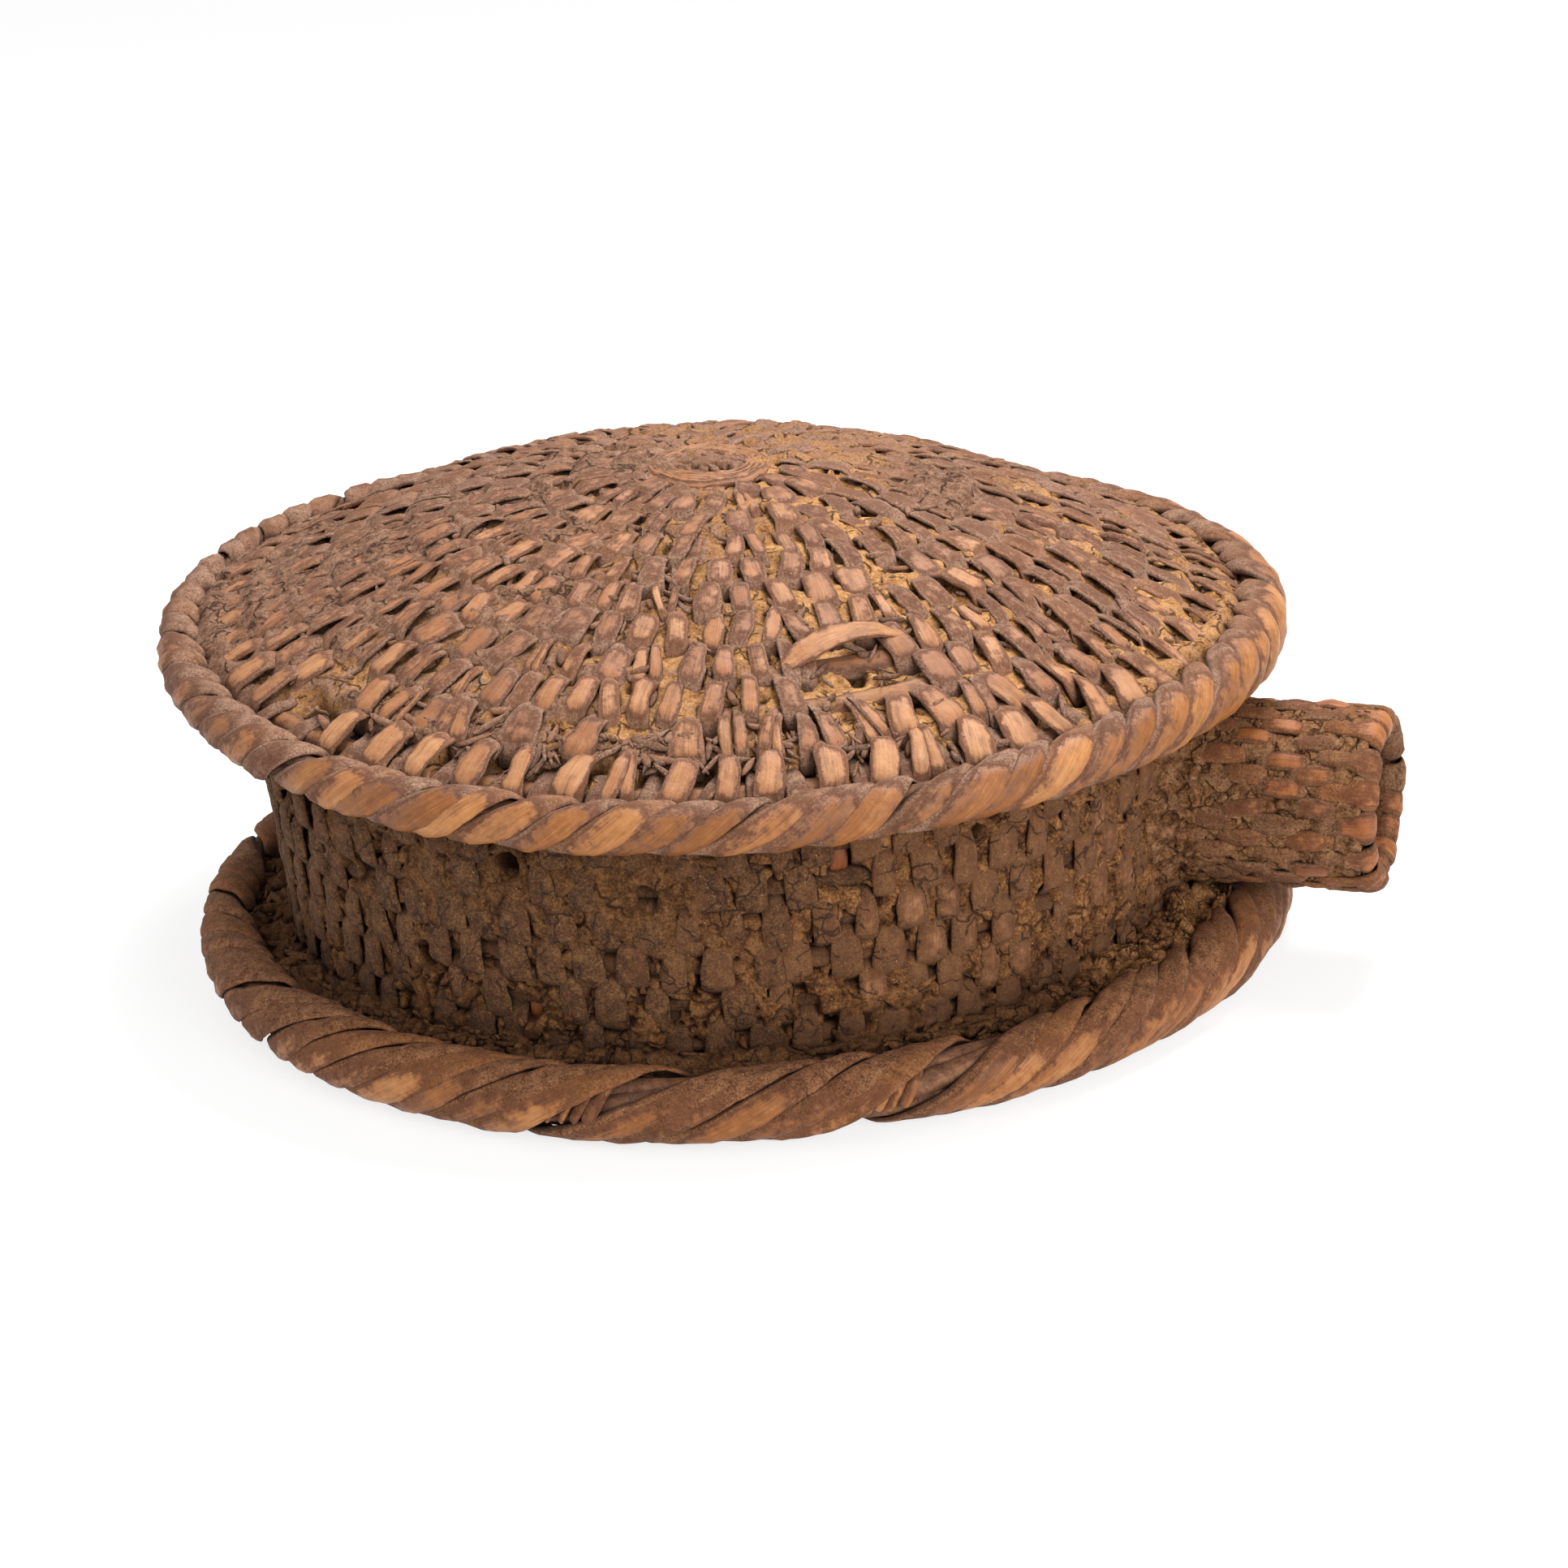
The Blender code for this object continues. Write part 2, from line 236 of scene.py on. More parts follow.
def noise(points, size, seed):
    """Smooth noise from -1 to 1, with lumps about size across."""
    spot = points / size
    cell = np.floor(spot).astype(np.int64)
    part = spot - cell
    part = part * part * (3 - 2 * part)
    total = 0.0
    for corner in np.ndindex(2, 2, 2):
        weight = np.prod(np.where(corner, part, 1 - part), axis=-1)
        total = total + weight * hashed(cell + np.array(corner), seed)
    return 2 * total - 1


def layered(points, size, seed):
    """Noise with two finer and lower kinds of it on top."""
    return sum(noise(points, size / 2**layer, seed + layer) / 2**layer for layer in range(3))


def cracks(points, size, seed):
    """Distance to the nearest border between cells, over the cell size, and each cell's own number."""
    spot = points / size
    home = np.floor(spot).astype(np.int64)
    first = np.full(spot.shape[:-1], 9.0)
    second = first.copy()
    own = np.zeros_like(first)
    for step in np.ndindex(3, 3, 3):
        cell = home + np.array(step) - 1
        core = cell + np.stack([hashed(cell, seed + axis) for axis in range(3)], axis=-1)
        gap = np.linalg.norm(spot - core, axis=-1)
        nearer = gap < first
        second = np.where(nearer, first, np.minimum(second, gap))
        own = np.where(nearer, hashed(cell, seed + 7), own)
        first = np.where(nearer, gap, first)
    return second - first, own


# ---------------------------------------------------------------- meshes


def new_mesh(name, points, faces):
    mesh = bpy.data.meshes.new(name)
    corners = np.concatenate([part.ravel() for part in faces])
    sizes = np.concatenate([np.full(len(part), part.shape[1]) for part in faces])
    mesh.vertices.add(len(points))
    mesh.vertices.foreach_set("co", points.ravel())
    mesh.loops.add(len(corners))
    mesh.loops.foreach_set("vertex_index", corners)
    mesh.polygons.add(len(sizes))
    mesh.polygons.foreach_set("loop_start", np.concatenate([[0], np.cumsum(sizes)[:-1]]))
    mesh.polygons.foreach_set("use_smooth", np.ones(len(sizes), dtype=bool))
    mesh.update(calc_edges=True)
    if turned_inside_out(points, faces):
        mesh.flip_normals()
    return mesh


def turned_inside_out(points, faces):
    """Whether closed faces enclose a negative volume."""
    volume = 0.0
    for part in faces:
        for corner in range(1, part.shape[1] - 1):
            a, b, c = points[part[:, 0]], points[part[:, corner]], points[part[:, corner + 1]]
            volume += np.einsum("ij,ij->", a, np.cross(b, c))
    return volume < 0


def roughen(mesh, points, bumps):
    """Move points along their normals; bumps are (size, height) pairs of surface roughness."""
    normals = np.empty(len(points) * 3)
    mesh.vertices.foreach_get("normal", normals)
    shift = sum(noise(points, size, seed) * height for seed, (size, height) in enumerate(bumps))
    moved = points + normals.reshape(-1, 3) * shift[:, None]
    moved[:, 2] = np.maximum(moved[:, 2], 0.1 * MM)
    mesh.vertices.foreach_set("co", moved.ravel())


def build(name, points, faces, look, slot, nodes, bumps, **values):
    """One piece from points and lists of faces, with the values that its look reads at each point."""
    points = points.reshape(-1, 3)
    mesh = new_mesh(name, points, faces)
    roughen(mesh, points, bumps)
    for key, value in values.items():
        kind = "FLOAT_VECTOR" if key == "grain" else "FLOAT"
        layer = mesh.attributes.new(key, kind, "POINT")
        field = "vector" if key == "grain" else "value"
        layer.data.foreach_set(field, np.ascontiguousarray(value, dtype=np.float32).ravel())
    mesh.materials.append(look)
    mesh.update()
    piece = bpy.data.objects.new(name, mesh)
    bpy.context.scene.collection.objects.link(piece)
    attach(piece, "root")
    if nodes:
        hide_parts(*nodes)
    return piece


def build_coat(name, front, back, look, nodes, bumps, depth, dusty):
    """A closed coat of dried mud: rings of points on its rough front and on its plain back."""
    points = np.concatenate([front, back])
    rest = np.zeros(back.shape[:2])
    return build(name, points, ring_faces([points.shape[1]] * len(points), closed=True), look, "dried_mud",
                 nodes, bumps, depth=np.concatenate([depth, rest]), dusty=np.concatenate([dusty, rest]))


def tube_faces(count, stations, corners, closed=False):
    """Faces of many tubes whose points are numbered tube by tube, station by station, round each."""
    index = np.arange(count * stations * corners).reshape(count, stations, corners)
    if closed:
        here, there = index, np.roll(index, -1, axis=1)
    else:
        here, there = index[:, :-1], index[:, 1:]
    sides = np.stack([here, np.roll(here, -1, axis=2), np.roll(there, -1, axis=2), there], axis=-1)
    if closed:
        return [sides.reshape(-1, 4)]
    return [sides.reshape(-1, 4), np.concatenate([index[:, 0, ::-1], index[:, -1]])]


def ring_faces(counts, closed=False):
    """Faces between rings of points: neighbours are as long as each other, twice as long, or one point."""
    starts = np.concatenate([[0], np.cumsum(counts)])
    quads, triangles = [], []
    pairs = list(zip(range(len(counts)), range(1, len(counts))))
    if closed:
        pairs.append((len(counts) - 1, 0))
    for one, two in pairs:
        here, there = starts[one] + np.arange(counts[one]), starts[two] + np.arange(counts[two])
        after, beyond = np.roll(here, -1), np.roll(there, -1)
        if counts[one] == counts[two]:
            quads.append(np.stack([here, after, beyond, there], axis=1))
        elif counts[one] == 1:
            triangles.append(np.stack([np.full_like(there, here[0]), beyond, there], axis=1))
        elif counts[two] == 1:
            triangles.append(np.stack([here, after, np.full_like(here, there[0])], axis=1))
        elif counts[two] == 2 * counts[one]:
            even, odd, last = there[::2], there[1::2], np.roll(there[::2], -1)
            triangles += [np.stack(part, axis=1) for part in
                          ((here, odd, even), (here, after, odd), (after, last, odd))]
        else:
            even, odd, last = here[::2], here[1::2], np.roll(here[::2], -1)
            triangles += [np.stack(part, axis=1) for part in
                          ((even, odd, there), (odd, beyond, there), (odd, last, beyond))]
    return [np.concatenate(part) for part in (quads, triangles) if part]


def strip_points(surface, along, side, height, heading, width, thickness, cup=0.0, roll=0.0, corners=12):
    """Points of flat strips laid on a sheet, and their grain and section coordinates.

    along, side and height are the paths, one row of stations for each strip. heading is the strips'
    direction on the sheet, cup how far their edges stand above their middles, roll how far one edge
    stands above the other.
    """
    turn = 2 * np.pi * (np.arange(corners) + 0.5) / corners
    across = np.sign(np.cos(turn)) * np.abs(np.cos(turn)) ** 0.55
    over = np.sign(np.sin(turn)) * np.abs(np.sin(turn)) ** 0.45
    rise = np.where(over > 0, over * (0.45 + 0.22 * (1 - across**2)), over * 0.40)
    path = np.stack([along, side, height], axis=-1)
    tangent = np.gradient(path, axis=1)
    tangent /= np.linalg.norm(tangent, axis=-1, keepdims=True)
    heading = np.broadcast_to(heading, along.shape)
    sideways = np.stack([-np.sin(heading), np.cos(heading), 0 * heading], axis=-1)
    upward = np.cross(tangent, sideways)
    reach = across * np.broadcast_to(width, along.shape)[..., None] / 2
    lift = rise * np.broadcast_to(thickness, along.shape)[..., None]
    lift = lift + np.broadcast_to(cup, along.shape)[..., None] * (across**2 - 0.4)
    lift = lift + np.broadcast_to(roll, along.shape)[..., None] * across / 2
    spots = path[:, :, None] + sideways[:, :, None] * reach[..., None] + upward[:, :, None] * lift[..., None]
    length = np.cumsum(np.linalg.norm(np.diff(path, axis=1, prepend=path[:, :1]), axis=-1), axis=1)
    shape = spots.shape[:3]
    section = np.broadcast_to(across, shape), np.broadcast_to(over, shape)
    grain = np.stack([np.broadcast_to(length[..., None], shape), reach, np.zeros(shape)], axis=-1)
    return surface(spots[..., 0], spots[..., 1], spots[..., 2]), grain, section


def spread_column(values, shape):
    """One value for each strip, repeated for all its points."""
    return np.broadcast_to(np.reshape(values, (-1, 1, 1)), shape)


def own_grain(grain, rng):
    """Shift each strip's grain, so that no two strips have the same fibres."""
    shift = rng.random((len(grain), 1, 1, 1)) * np.array([1.0, 1.0, 9.0])
    return grain + shift


# ---------------------------------------------------------------- looks


def srgb(red, green, blue):
    """A colour given as 0 to 255 display values, in Blender's linear values."""
    values = red, green, blue
    return tuple(((value / 255 + 0.055) / 1.055) ** 2.4 if value > 10 else value / 3294 for value in values)


class Look:
    """A material and short ways to add nodes to it."""

    def __init__(self, name):
        self.material = bpy.data.materials.new(name)
        self.material.use_nodes = True
        self.tree = self.material.node_tree
        self.shader = self.tree.nodes["Principled BSDF"]
        self.place = self.add("ShaderNodeTexCoord").outputs["Object"]

    def add(self, kind, **settings):
        node = self.tree.nodes.new(kind)
        for key, value in settings.items():
            setattr(node, key, value)
        return node

    def link(self, value, socket):
        if isinstance(value, bpy.types.NodeSocket):
            self.tree.links.new(value, socket)
        elif isinstance(value, tuple):
            socket.default_value = (*value, 1.0)
        else:
            socket.default_value = value

    def value(self, name):
        return self.add("ShaderNodeAttribute", attribute_name=name).outputs["Fac"]

    def grain(self, lengthwise, crosswise):
        """The strip's own coordinates, in waves for each metre."""
        source = self.add("ShaderNodeAttribute", attribute_name="grain").outputs["Vector"]
        mapping = self.add("ShaderNodeMapping")
        mapping.inputs["Scale"].default_value = (lengthwise, crosswise, 1.0)
        self.link(source, mapping.inputs["Vector"])
        return mapping.outputs["Vector"]

    def noise(self, scale, detail=4.0, rough=0.6, where=None):
        node = self.add("ShaderNodeTexNoise")
        self.link(self.place if where is None else where, node.inputs["Vector"])
        node.inputs["Scale"].default_value = scale
        node.inputs["Detail"].default_value = detail
        node.inputs["Roughness"].default_value = rough
        return node.outputs["Fac"]

    def cells(self, scale, wobble):
        """Distance to the nearest border between cells whose borders waver."""
        node = self.add("ShaderNodeTexVoronoi", feature="DISTANCE_TO_EDGE")
        source = self.add("ShaderNodeTexNoise")
        self.link(self.place, source.inputs["Vector"])
        source.inputs["Scale"].default_value = scale * 1.7
        push = self.add("ShaderNodeVectorMath", operation="SCALE")
        self.link(source.outputs["Color"], push.inputs[0])
        push.inputs["Scale"].default_value = wobble
        total = self.add("ShaderNodeVectorMath", operation="ADD")
        self.link(self.place, total.inputs[0])
        self.link(push.outputs[0], total.inputs[1])
        self.link(total.outputs[0], node.inputs["Vector"])
        node.inputs["Scale"].default_value = scale
        return node.outputs["Distance"]

    def math(self, operation, first, second):
        node = self.add("ShaderNodeMath", operation=operation)
        self.link(first, node.inputs[0])
        self.link(second, node.inputs[1])
        return node.outputs[0]

    def plus(self, first, second):
        return self.math("ADD", first, second)

    def minus(self, first, second):
        return self.math("SUBTRACT", first, second)

    def times(self, first, second):
        return self.math("MULTIPLY", first, second)

    def sway(self, value, amount, middle=0.5):
        """How far a value is from its middle, times an amount."""
        return self.times(self.minus(value, middle), amount)

    def blend(self, *parts):
        """The sum of values, each times its own weight."""
        total, *others = [self.times(value, weight) for value, weight in parts]
        for other in others:
            total = self.plus(total, other)
        return total

    def span(self, value, low, high, start=0.0, end=1.0):
        node = self.add("ShaderNodeMapRange", interpolation_type="SMOOTHSTEP")
        self.link(value, node.inputs["Value"])
        for key, number in (("From Min", low), ("From Max", high), ("To Min", start), ("To Max", end)):
            node.inputs[key].default_value = number
        return node.outputs["Result"]

    def ramp(self, value, *stops):
        node = self.add("ShaderNodeValToRGB")
        self.link(value, node.inputs["Fac"])
        points = node.color_ramp.elements
        while len(points) < len(stops):
            points.new(0.5)
        for point, (place, colour) in zip(points, stops):
            point.position = place
            point.color = (*colour, 1.0)
        return node.outputs["Color"]

    def mix(self, share, first, second):
        node = self.add("ShaderNodeMix", data_type="RGBA")
        self.link(share, node.inputs[0])
        self.link(first, node.inputs[6])
        self.link(second, node.inputs[7])
        return node.outputs[2]

    def seam(self, size, width):
        """1 on thin cracks between cells of that size, in parts of the surface only."""
        edge = self.cells(1.0 / size, size * 0.8)
        line = self.span(edge, 0.0, width, 1.0, 0.0)
        return self.times(line, self.span(self.noise(110.0), 0.46, 0.54))

    def crevice(self, reach, most):
        """1 in narrow crevices, where dirt collects and light does not reach; 0 on open surfaces."""
        node = self.add("ShaderNodeAmbientOcclusion", samples=6)
        node.inputs["Distance"].default_value = reach
        return self.span(node.outputs["AO"], 0.20, 0.72, most, 0.0)

    def with_grains(self, colour):
        """Pale grains of sand, here and there."""
        grain = self.span(self.noise(1900.0, detail=0.0), 0.80, 0.85, 0.0, 0.5)
        return self.mix(grain, colour, SAND)

    def bump(self, height, distance, strength, below=None):
        node = self.add("ShaderNodeBump")
        node.inputs["Strength"].default_value = strength
        node.inputs["Distance"].default_value = distance
        self.link(height, node.inputs["Height"])
        if below is not None:
            self.link(below, node.inputs["Normal"])
        return node.outputs["Normal"]

    def finish(self, colour, rough, normal, shine=0.35):
        self.link(colour, self.shader.inputs["Base Color"])
        self.link(rough, self.shader.inputs["Roughness"])
        self.link(normal, self.shader.inputs["Normal"])
        self.shader.inputs["Specular IOR Level"].default_value = shine
        return self.material


DUST_DARK, DUST, DUST_PALE = srgb(100, 70, 52), srgb(144, 108, 87), srgb(176, 138, 113)
WILLOW = (srgb(102, 58, 28), srgb(154, 99, 60), srgb(196, 144, 98))
STAIN = srgb(88, 48, 27)
# Dark colour of pits, crevices and cracks: painted shade, together with dirt.
PIT_SHADE_AND_DIRT = srgb(44, 21, 6)
SAND = srgb(205, 176, 148)


def splint_look(name, cover, dust, wood, roughness, stained=0.5, cracked=0.0, shaded=0.75):
    """Weathered split willow: worn wood where it stands proud, dust and mud elsewhere.

    cover shifts the balance from worn wood to dust, and roughness is that of the worn wood. The pieces
    carry three values: worn, tone and depth. A low depth darkens the colour: painted shade, together with
    dirt.
    """
    look = Look(name)
    worn, tone, depth = look.value("worn"), look.value("tone"), look.value("depth")
    fibres = look.noise(1.0, detail=5.0, rough=0.7, where=look.grain(90.0, 2600.0))
    streaks = look.noise(1.0, detail=3.0, where=look.grain(55.0, 620.0))
    patches = look.noise(300.0, detail=6.0, rough=0.68)
    broad = look.noise(38.0, detail=2.0)
    balance = worn
    for value, amount in ((patches, 0.95), (broad, 0.70), (fibres, 0.45)):
        balance = look.plus(balance, look.sway(value, amount))
    balance = look.minus(balance, cover)
    bare = look.span(balance, 0.18, 0.78)
    stain = look.times(look.span(balance, 0.14, 0.40), look.span(balance, 0.40, 0.66, 1.0, 0.0))
    light = look.blend((fibres, 0.50), (streaks, 0.25), (patches, 0.25))
    light = look.plus(light, look.sway(tone, 0.30))
    light = look.plus(light, look.sway(balance, 0.28, middle=0.6))
    wooden = look.ramp(light, (0.16, wood[0]), (0.50, wood[1]), (0.88, wood[2]))
    speckle = look.noise(1500.0, detail=3.0, rough=0.7)
    dusty = look.ramp(look.blend((speckle, 0.55), (patches, 0.45)),
                      (0.40, dust[0]), (0.50, dust[1]), (0.61, dust[2]))
    dusty = look.mix(look.times(look.span(tone, 0.3, 1.0), 0.38), dusty, wood[1])
    colour = look.mix(bare, look.with_grains(dusty), wooden)
    blotch = look.noise(1.0, detail=4.0, rough=0.65, where=look.grain(60.0, 260.0))
    colour = look.mix(look.times(look.span(blotch, 0.52, 0.66), 0.45), colour, STAIN)
    colour = look.mix(look.times(stain, stained), colour, STAIN)
    # Low places and the edges of strips are darkened: painted shade, together with dirt.
    colour = look.mix(look.span(depth, 0.0, 1.0, 0.78, 0.0), colour, PIT_SHADE_AND_DIRT)
    # Crevices are darkened from ambient occlusion: painted shade, together with the dirt that collects there.
    colour = look.mix(look.crevice(3.0 * MM, shaded), colour, PIT_SHADE_AND_DIRT)
    if cracked:
        seam = look.seam(cracked, 0.05)
        colour = look.mix(look.times(seam, 0.85), colour, PIT_SHADE_AND_DIRT)
        patches = look.minus(patches, seam)
    rough = look.span(bare, 0.0, 1.0, 0.92, roughness)
    return look.finish(colour, rough, splint_relief(look, fibres, patches, speckle, bare))


def splint_relief(look, fibres, patches, speckle, bare):
    """Fibres, the grit of the dust where the wood isn't bare, and larger unevenness."""
    ridges = look.bump(fibres, 0.30 * MM, 0.6)
    grit = look.times(look.minus(1.0, look.times(bare, 0.75)), speckle)
    normal = look.bump(grit, 0.55 * MM, 0.9, below=ridges)
    return look.bump(patches, 0.6 * MM, 0.6, below=normal)


def earth_look(name, earth, dust, crack_size, crumb):
    """Dried mud or sealing compound: crumbs, cracks, a coat of dust, and darkness painted into every pit and
    crevice, as shade together with dirt.
    """
    look = Look(name)
    depth, dusty = look.value("depth"), look.value("dusty")
    speckle = look.noise(1300.0, detail=5.0, rough=0.75)
    lumps = look.noise(300.0, detail=6.0, rough=0.7)
    broad = look.noise(55.0, detail=3.0)
    fine = look.blend((speckle, 0.5), (lumps, 0.5))
    shade = look.blend((fine, 0.80), (broad, 0.20))
    colour = look.ramp(shade, (0.40, earth[0]), (0.50, earth[1]), (0.60, earth[2]))
    dust = look.ramp(fine, (0.40, dust[0]), (0.50, dust[1]), (0.60, dust[2]))
    cover = look.plus(dusty, look.sway(lumps, 1.4))
    colour = look.with_grains(look.mix(look.span(cover, 0.30, 0.70), colour, dust))
    seam = look.seam(crack_size, 0.07)
    colour = look.mix(look.times(seam, 0.80), colour, PIT_SHADE_AND_DIRT)
    # Low places are darkened: painted shade, together with dirt.
    colour = look.mix(look.span(depth, 0.0, 1.0, 0.85, 0.0), colour, PIT_SHADE_AND_DIRT)
    # Crevices are darkened from ambient occlusion: painted shade, together with dirt.
    colour = look.mix(look.crevice(3.0 * MM, 0.80), colour, PIT_SHADE_AND_DIRT)
    height = look.minus(look.blend((lumps, 0.6), (speckle, 0.4)), look.times(seam, 0.8))
    normal = look.bump(height, crumb, 1.0)
    return look.finish(colour, 0.96, normal, shine=0.2)


DUSTY = (DUST_DARK, DUST, DUST_PALE)
CAKED_DUST = (srgb(80, 53, 38), srgb(124, 90, 70), srgb(162, 124, 100))
BORDER_WOOD = (srgb(84, 44, 16), srgb(143, 86, 38), srgb(194, 134, 80))
WALL_DUST = (srgb(52, 30, 13), srgb(90, 58, 32), srgb(124, 86, 52))
BORDER_DUST = (srgb(76, 43, 22), srgb(123, 80, 50), srgb(157, 110, 74))
FRESH_WOOD = (srgb(78, 32, 8), srgb(122, 58, 18), srgb(150, 82, 36))
WALL_WOOD = (srgb(96, 56, 30), srgb(134, 88, 55), srgb(164, 114, 76))
NECK_DUST = (srgb(76, 46, 24), srgb(120, 82, 54), srgb(152, 113, 80))
NECK_WOOD = (srgb(100, 48, 16), srgb(152, 86, 38), srgb(186, 120, 64))
TAN = (srgb(104, 66, 34), srgb(176, 126, 78), srgb(224, 172, 116))
MUD = (srgb(46, 25, 10), srgb(106, 68, 38), srgb(162, 114, 70))
DIRT = (srgb(50, 27, 10), srgb(118, 78, 44), srgb(178, 130, 84))

top_look = splint_look("Split willow, faces", 0.08, DUSTY, WILLOW, 0.48, 0.7)
border_look = splint_look("Split willow, borders", 0.02, DUSTY, BORDER_WOOD, 0.42, 0.75)
base_border_look = splint_look("Split willow, bottom border", 0.12, BORDER_DUST, BORDER_WOOD, 0.50, 0.65)
wall_look = splint_look("Split willow, wall", 0.45, WALL_DUST, WALL_WOOD, 0.70, 0.25,
                        cracked=11 * MM, shaded=0.92)
neck_look = splint_look("Split willow, neck", 0.20, NECK_DUST, NECK_WOOD, 0.50, 0.6, shaded=0.92)
rod_look = splint_look("Willow shoots", 0.30, DUSTY, WILLOW, 0.60)
hidden_rod_look = splint_look("Willow shoots, in shade", 0.40, WALL_DUST, WALL_WOOD, 0.70)
bare_look = splint_look("Split willow, fresh", 0.0, WALL_DUST, FRESH_WOOD, 0.45, 0.2)
compound_look = earth_look("Sealing compound", TAN, CAKED_DUST, 9 * MM, 0.8 * MM)
mud_look = earth_look("Dried mud", MUD, WALL_DUST, 12 * MM, 0.6 * MM)
neck_mud_look = earth_look("Dried mud, neck", DIRT, NECK_DUST, 8 * MM, 0.6 * MM)
dirt_look = earth_look("Crumbled mud", DIRT, WALL_DUST, 6 * MM, 1.0 * MM)


# ---------------------------------------------------------------- stitches of the faces


def stitch_rows(radii, pitch, rng):
    """Angles of each row's stitches: each one between two of the row before, and two in the widest gaps."""
    rows = []
    for radius in radii:
        wanted = round(2 * math.pi * radius / pitch)
        if not rows:
            angles = steps_round(wanted)
        else:
            before = rows[-1]
            gaps = np.diff(before, append=before[0] + 2 * math.pi)
            extra = max(wanted - len(before), 0)
            liked = gaps * rng.uniform(0.8, 1.2, len(gaps))
            split = np.isin(np.arange(len(before)), np.argsort(liked)[len(before) - extra:])
            single = before[~split] + gaps[~split] * 0.5
            pair = [before[split] + gaps[split] * share for share in (0.28, 0.72)]
            angles = np.sort(np.concatenate([single, *pair]))
            for _ in range(3):
                after = np.append(angles[1:], angles[0] + 2 * math.pi)
                ahead = np.append(angles[-1] - 2 * math.pi, angles[:-1])
                angles = angles + 0.35 * ((after + ahead) / 2 - angles)
        rows.append(angles)
    return [angles + rng.normal(0, 0.06, len(angles)) * pitch / radius for radius, angles in zip(radii, rows)]


def over_rod(share, inner_end, crest, outer_end, rise=0.36, fall=0.70):
    """Height along a stitch that climbs over a rod and dives behind it."""
    climb = 1 - smooth(0.0, rise, share)
    dive = smooth(fall, 1.0, share) ** 1.1
    return crest - (crest - inner_end) * climb - (crest - outer_end) * dive + 0.4 * MM * np.sin(np.pi * share)


def degrees_from(angle, centre):
    """How far an angle in radians is from a direction in degrees, in degrees."""
    return np.abs((np.degrees(angle) - centre + 180) % 360 - 180)


def direction(spots):
    return np.arctan2(spots[..., 1], spots[..., 0])


def split_some(angles, width, radius, rng):
    """Some splints have split lengthwise, and lie there as two narrow ones side by side."""
    pair = rng.random(len(angles)) < 0.14
    apart = width[pair] * 0.27 / radius
    angles = np.concatenate([angles[~pair], angles[pair] - apart, angles[pair] + apart])
    return angles, np.concatenate([width[~pair], width[pair] * 0.52, width[pair] * 0.50])


def middle_of(share, shape, rise, fall):
    """1 over the middle of strips, 0 at their ends: rise and fall are where it starts and ends to change."""
    crown = smooth(*rise, share) * (1 - smooth(*fall, share))
    return np.broadcast_to(crown[None, :, None], shape)


def face_row(surface, radius, angles, rng, wide, crest, inner, outer, lean=-0.10, lifted=None, reach=0.0):
    """One row of radial stitches: points, grain, and the values worn, tone and depth."""
    stations = 15
    share = np.linspace(0, 1, stations)
    gaps = (np.roll(angles, -1) - np.roll(angles, 1)) % (2 * math.pi) / 2
    width = np.clip(gaps * radius * wide, 4.2 * MM, 8.8 * MM) * rng.normal(1, 0.10, len(angles))
    width = np.where(rng.random(len(angles)) < 0.07, width * 0.65, width)
    angles, width = split_some(angles, width, radius, rng)
    count = len(angles)
    tilt = rng.normal(lean, 0.14, (count, 1))
    inner = inner + rng.normal(0, 0.8, (count, 1)) * MM
    raised = 0.0 if lifted is None else lifted(angles)[:, None]
    outer = outer + rng.normal(0, 0.6, (count, 1)) * MM + reach * raised
    along = radius - inner + (inner + outer) * share
    bend = rng.normal(0, 0.75, (count, 1)) * MM * np.sin(3.6 * share + rng.uniform(-0.6, 0.6, (count, 1)))
    side = np.tan(tilt) * (along - radius) + bend
    top = crest + rng.normal(0.0, 0.40, (count, 1)) * MM
    height = over_rod(share, 1.9 * MM, top, (0.2 + 3.2 * raised) * MM) + 0 * along
    width = width[:, None]
    taper = 0.86 + 0.18 * smooth(0.05, 0.55, share) - 0.20 * smooth(0.88, 1.0, share)
    where = np.stack([along, angles[:, None] * radius + 0 * along, side], axis=-1)
    wander = 1 + 0.17 * noise(where, 5 * MM, 3)
    cup = rng.normal(-0.20, 0.25, (count, 1)) * MM
    roll = rng.normal(0.0, 0.75, (count, 1)) * MM
    turn = angles[:, None, None]

    def place(a, b, h):
        return surface(a, turn + b / radius, h)

    spots, grain, (across, over) = strip_points(
        place, along, side, height, tilt, width * taper * wander, SPLINT, cup=cup, roll=roll
    )
    worn, depth = stitch_values(share, height, across, over, rng)
    return spots, own_grain(grain, rng), worn, spread_column(rng.random(count), across.shape), depth


def stitch_values(share, height, across, over, rng):
    """A stitch is worn where it climbs over its rod; its edges and its low-lying ends get a smaller depth,
    painted shade together with dirt.
    """
    shape = across.shape
    crown = middle_of(share, shape, (0.12, 0.42), (0.66, 0.90))
    worn = crown * (1 - np.abs(across) ** 2.2 * 0.8) * np.where(over > 0, 1.0, 0.0)
    worn = worn * spread_column(rng.uniform(0.72, 1.10, len(height)), shape)
    level = np.broadcast_to(height[..., None], shape) + over * 0.5 * MM
    return worn, smooth(0.5 * MM, 3.4 * MM, level) * (1 - 0.35 * smooth(0.82, 1.0, np.abs(across)))


def build_stitches(name, rows, look, nodes, wear):
    """One piece from rows of stitches."""
    spots, grain, worn, tone, depth = (np.concatenate([row[part] for row in rows]) for part in range(5))
    build(name, spots, tube_faces(*spots.shape[:3]), look, "willow_splint", nodes,
          bumps=((5 * MM, 0.32 * MM), (2.2 * MM, 0.26 * MM), (1.0 * MM, 0.11 * MM)),
          grain=grain, worn=worn * wear(spots), tone=tone, depth=depth)


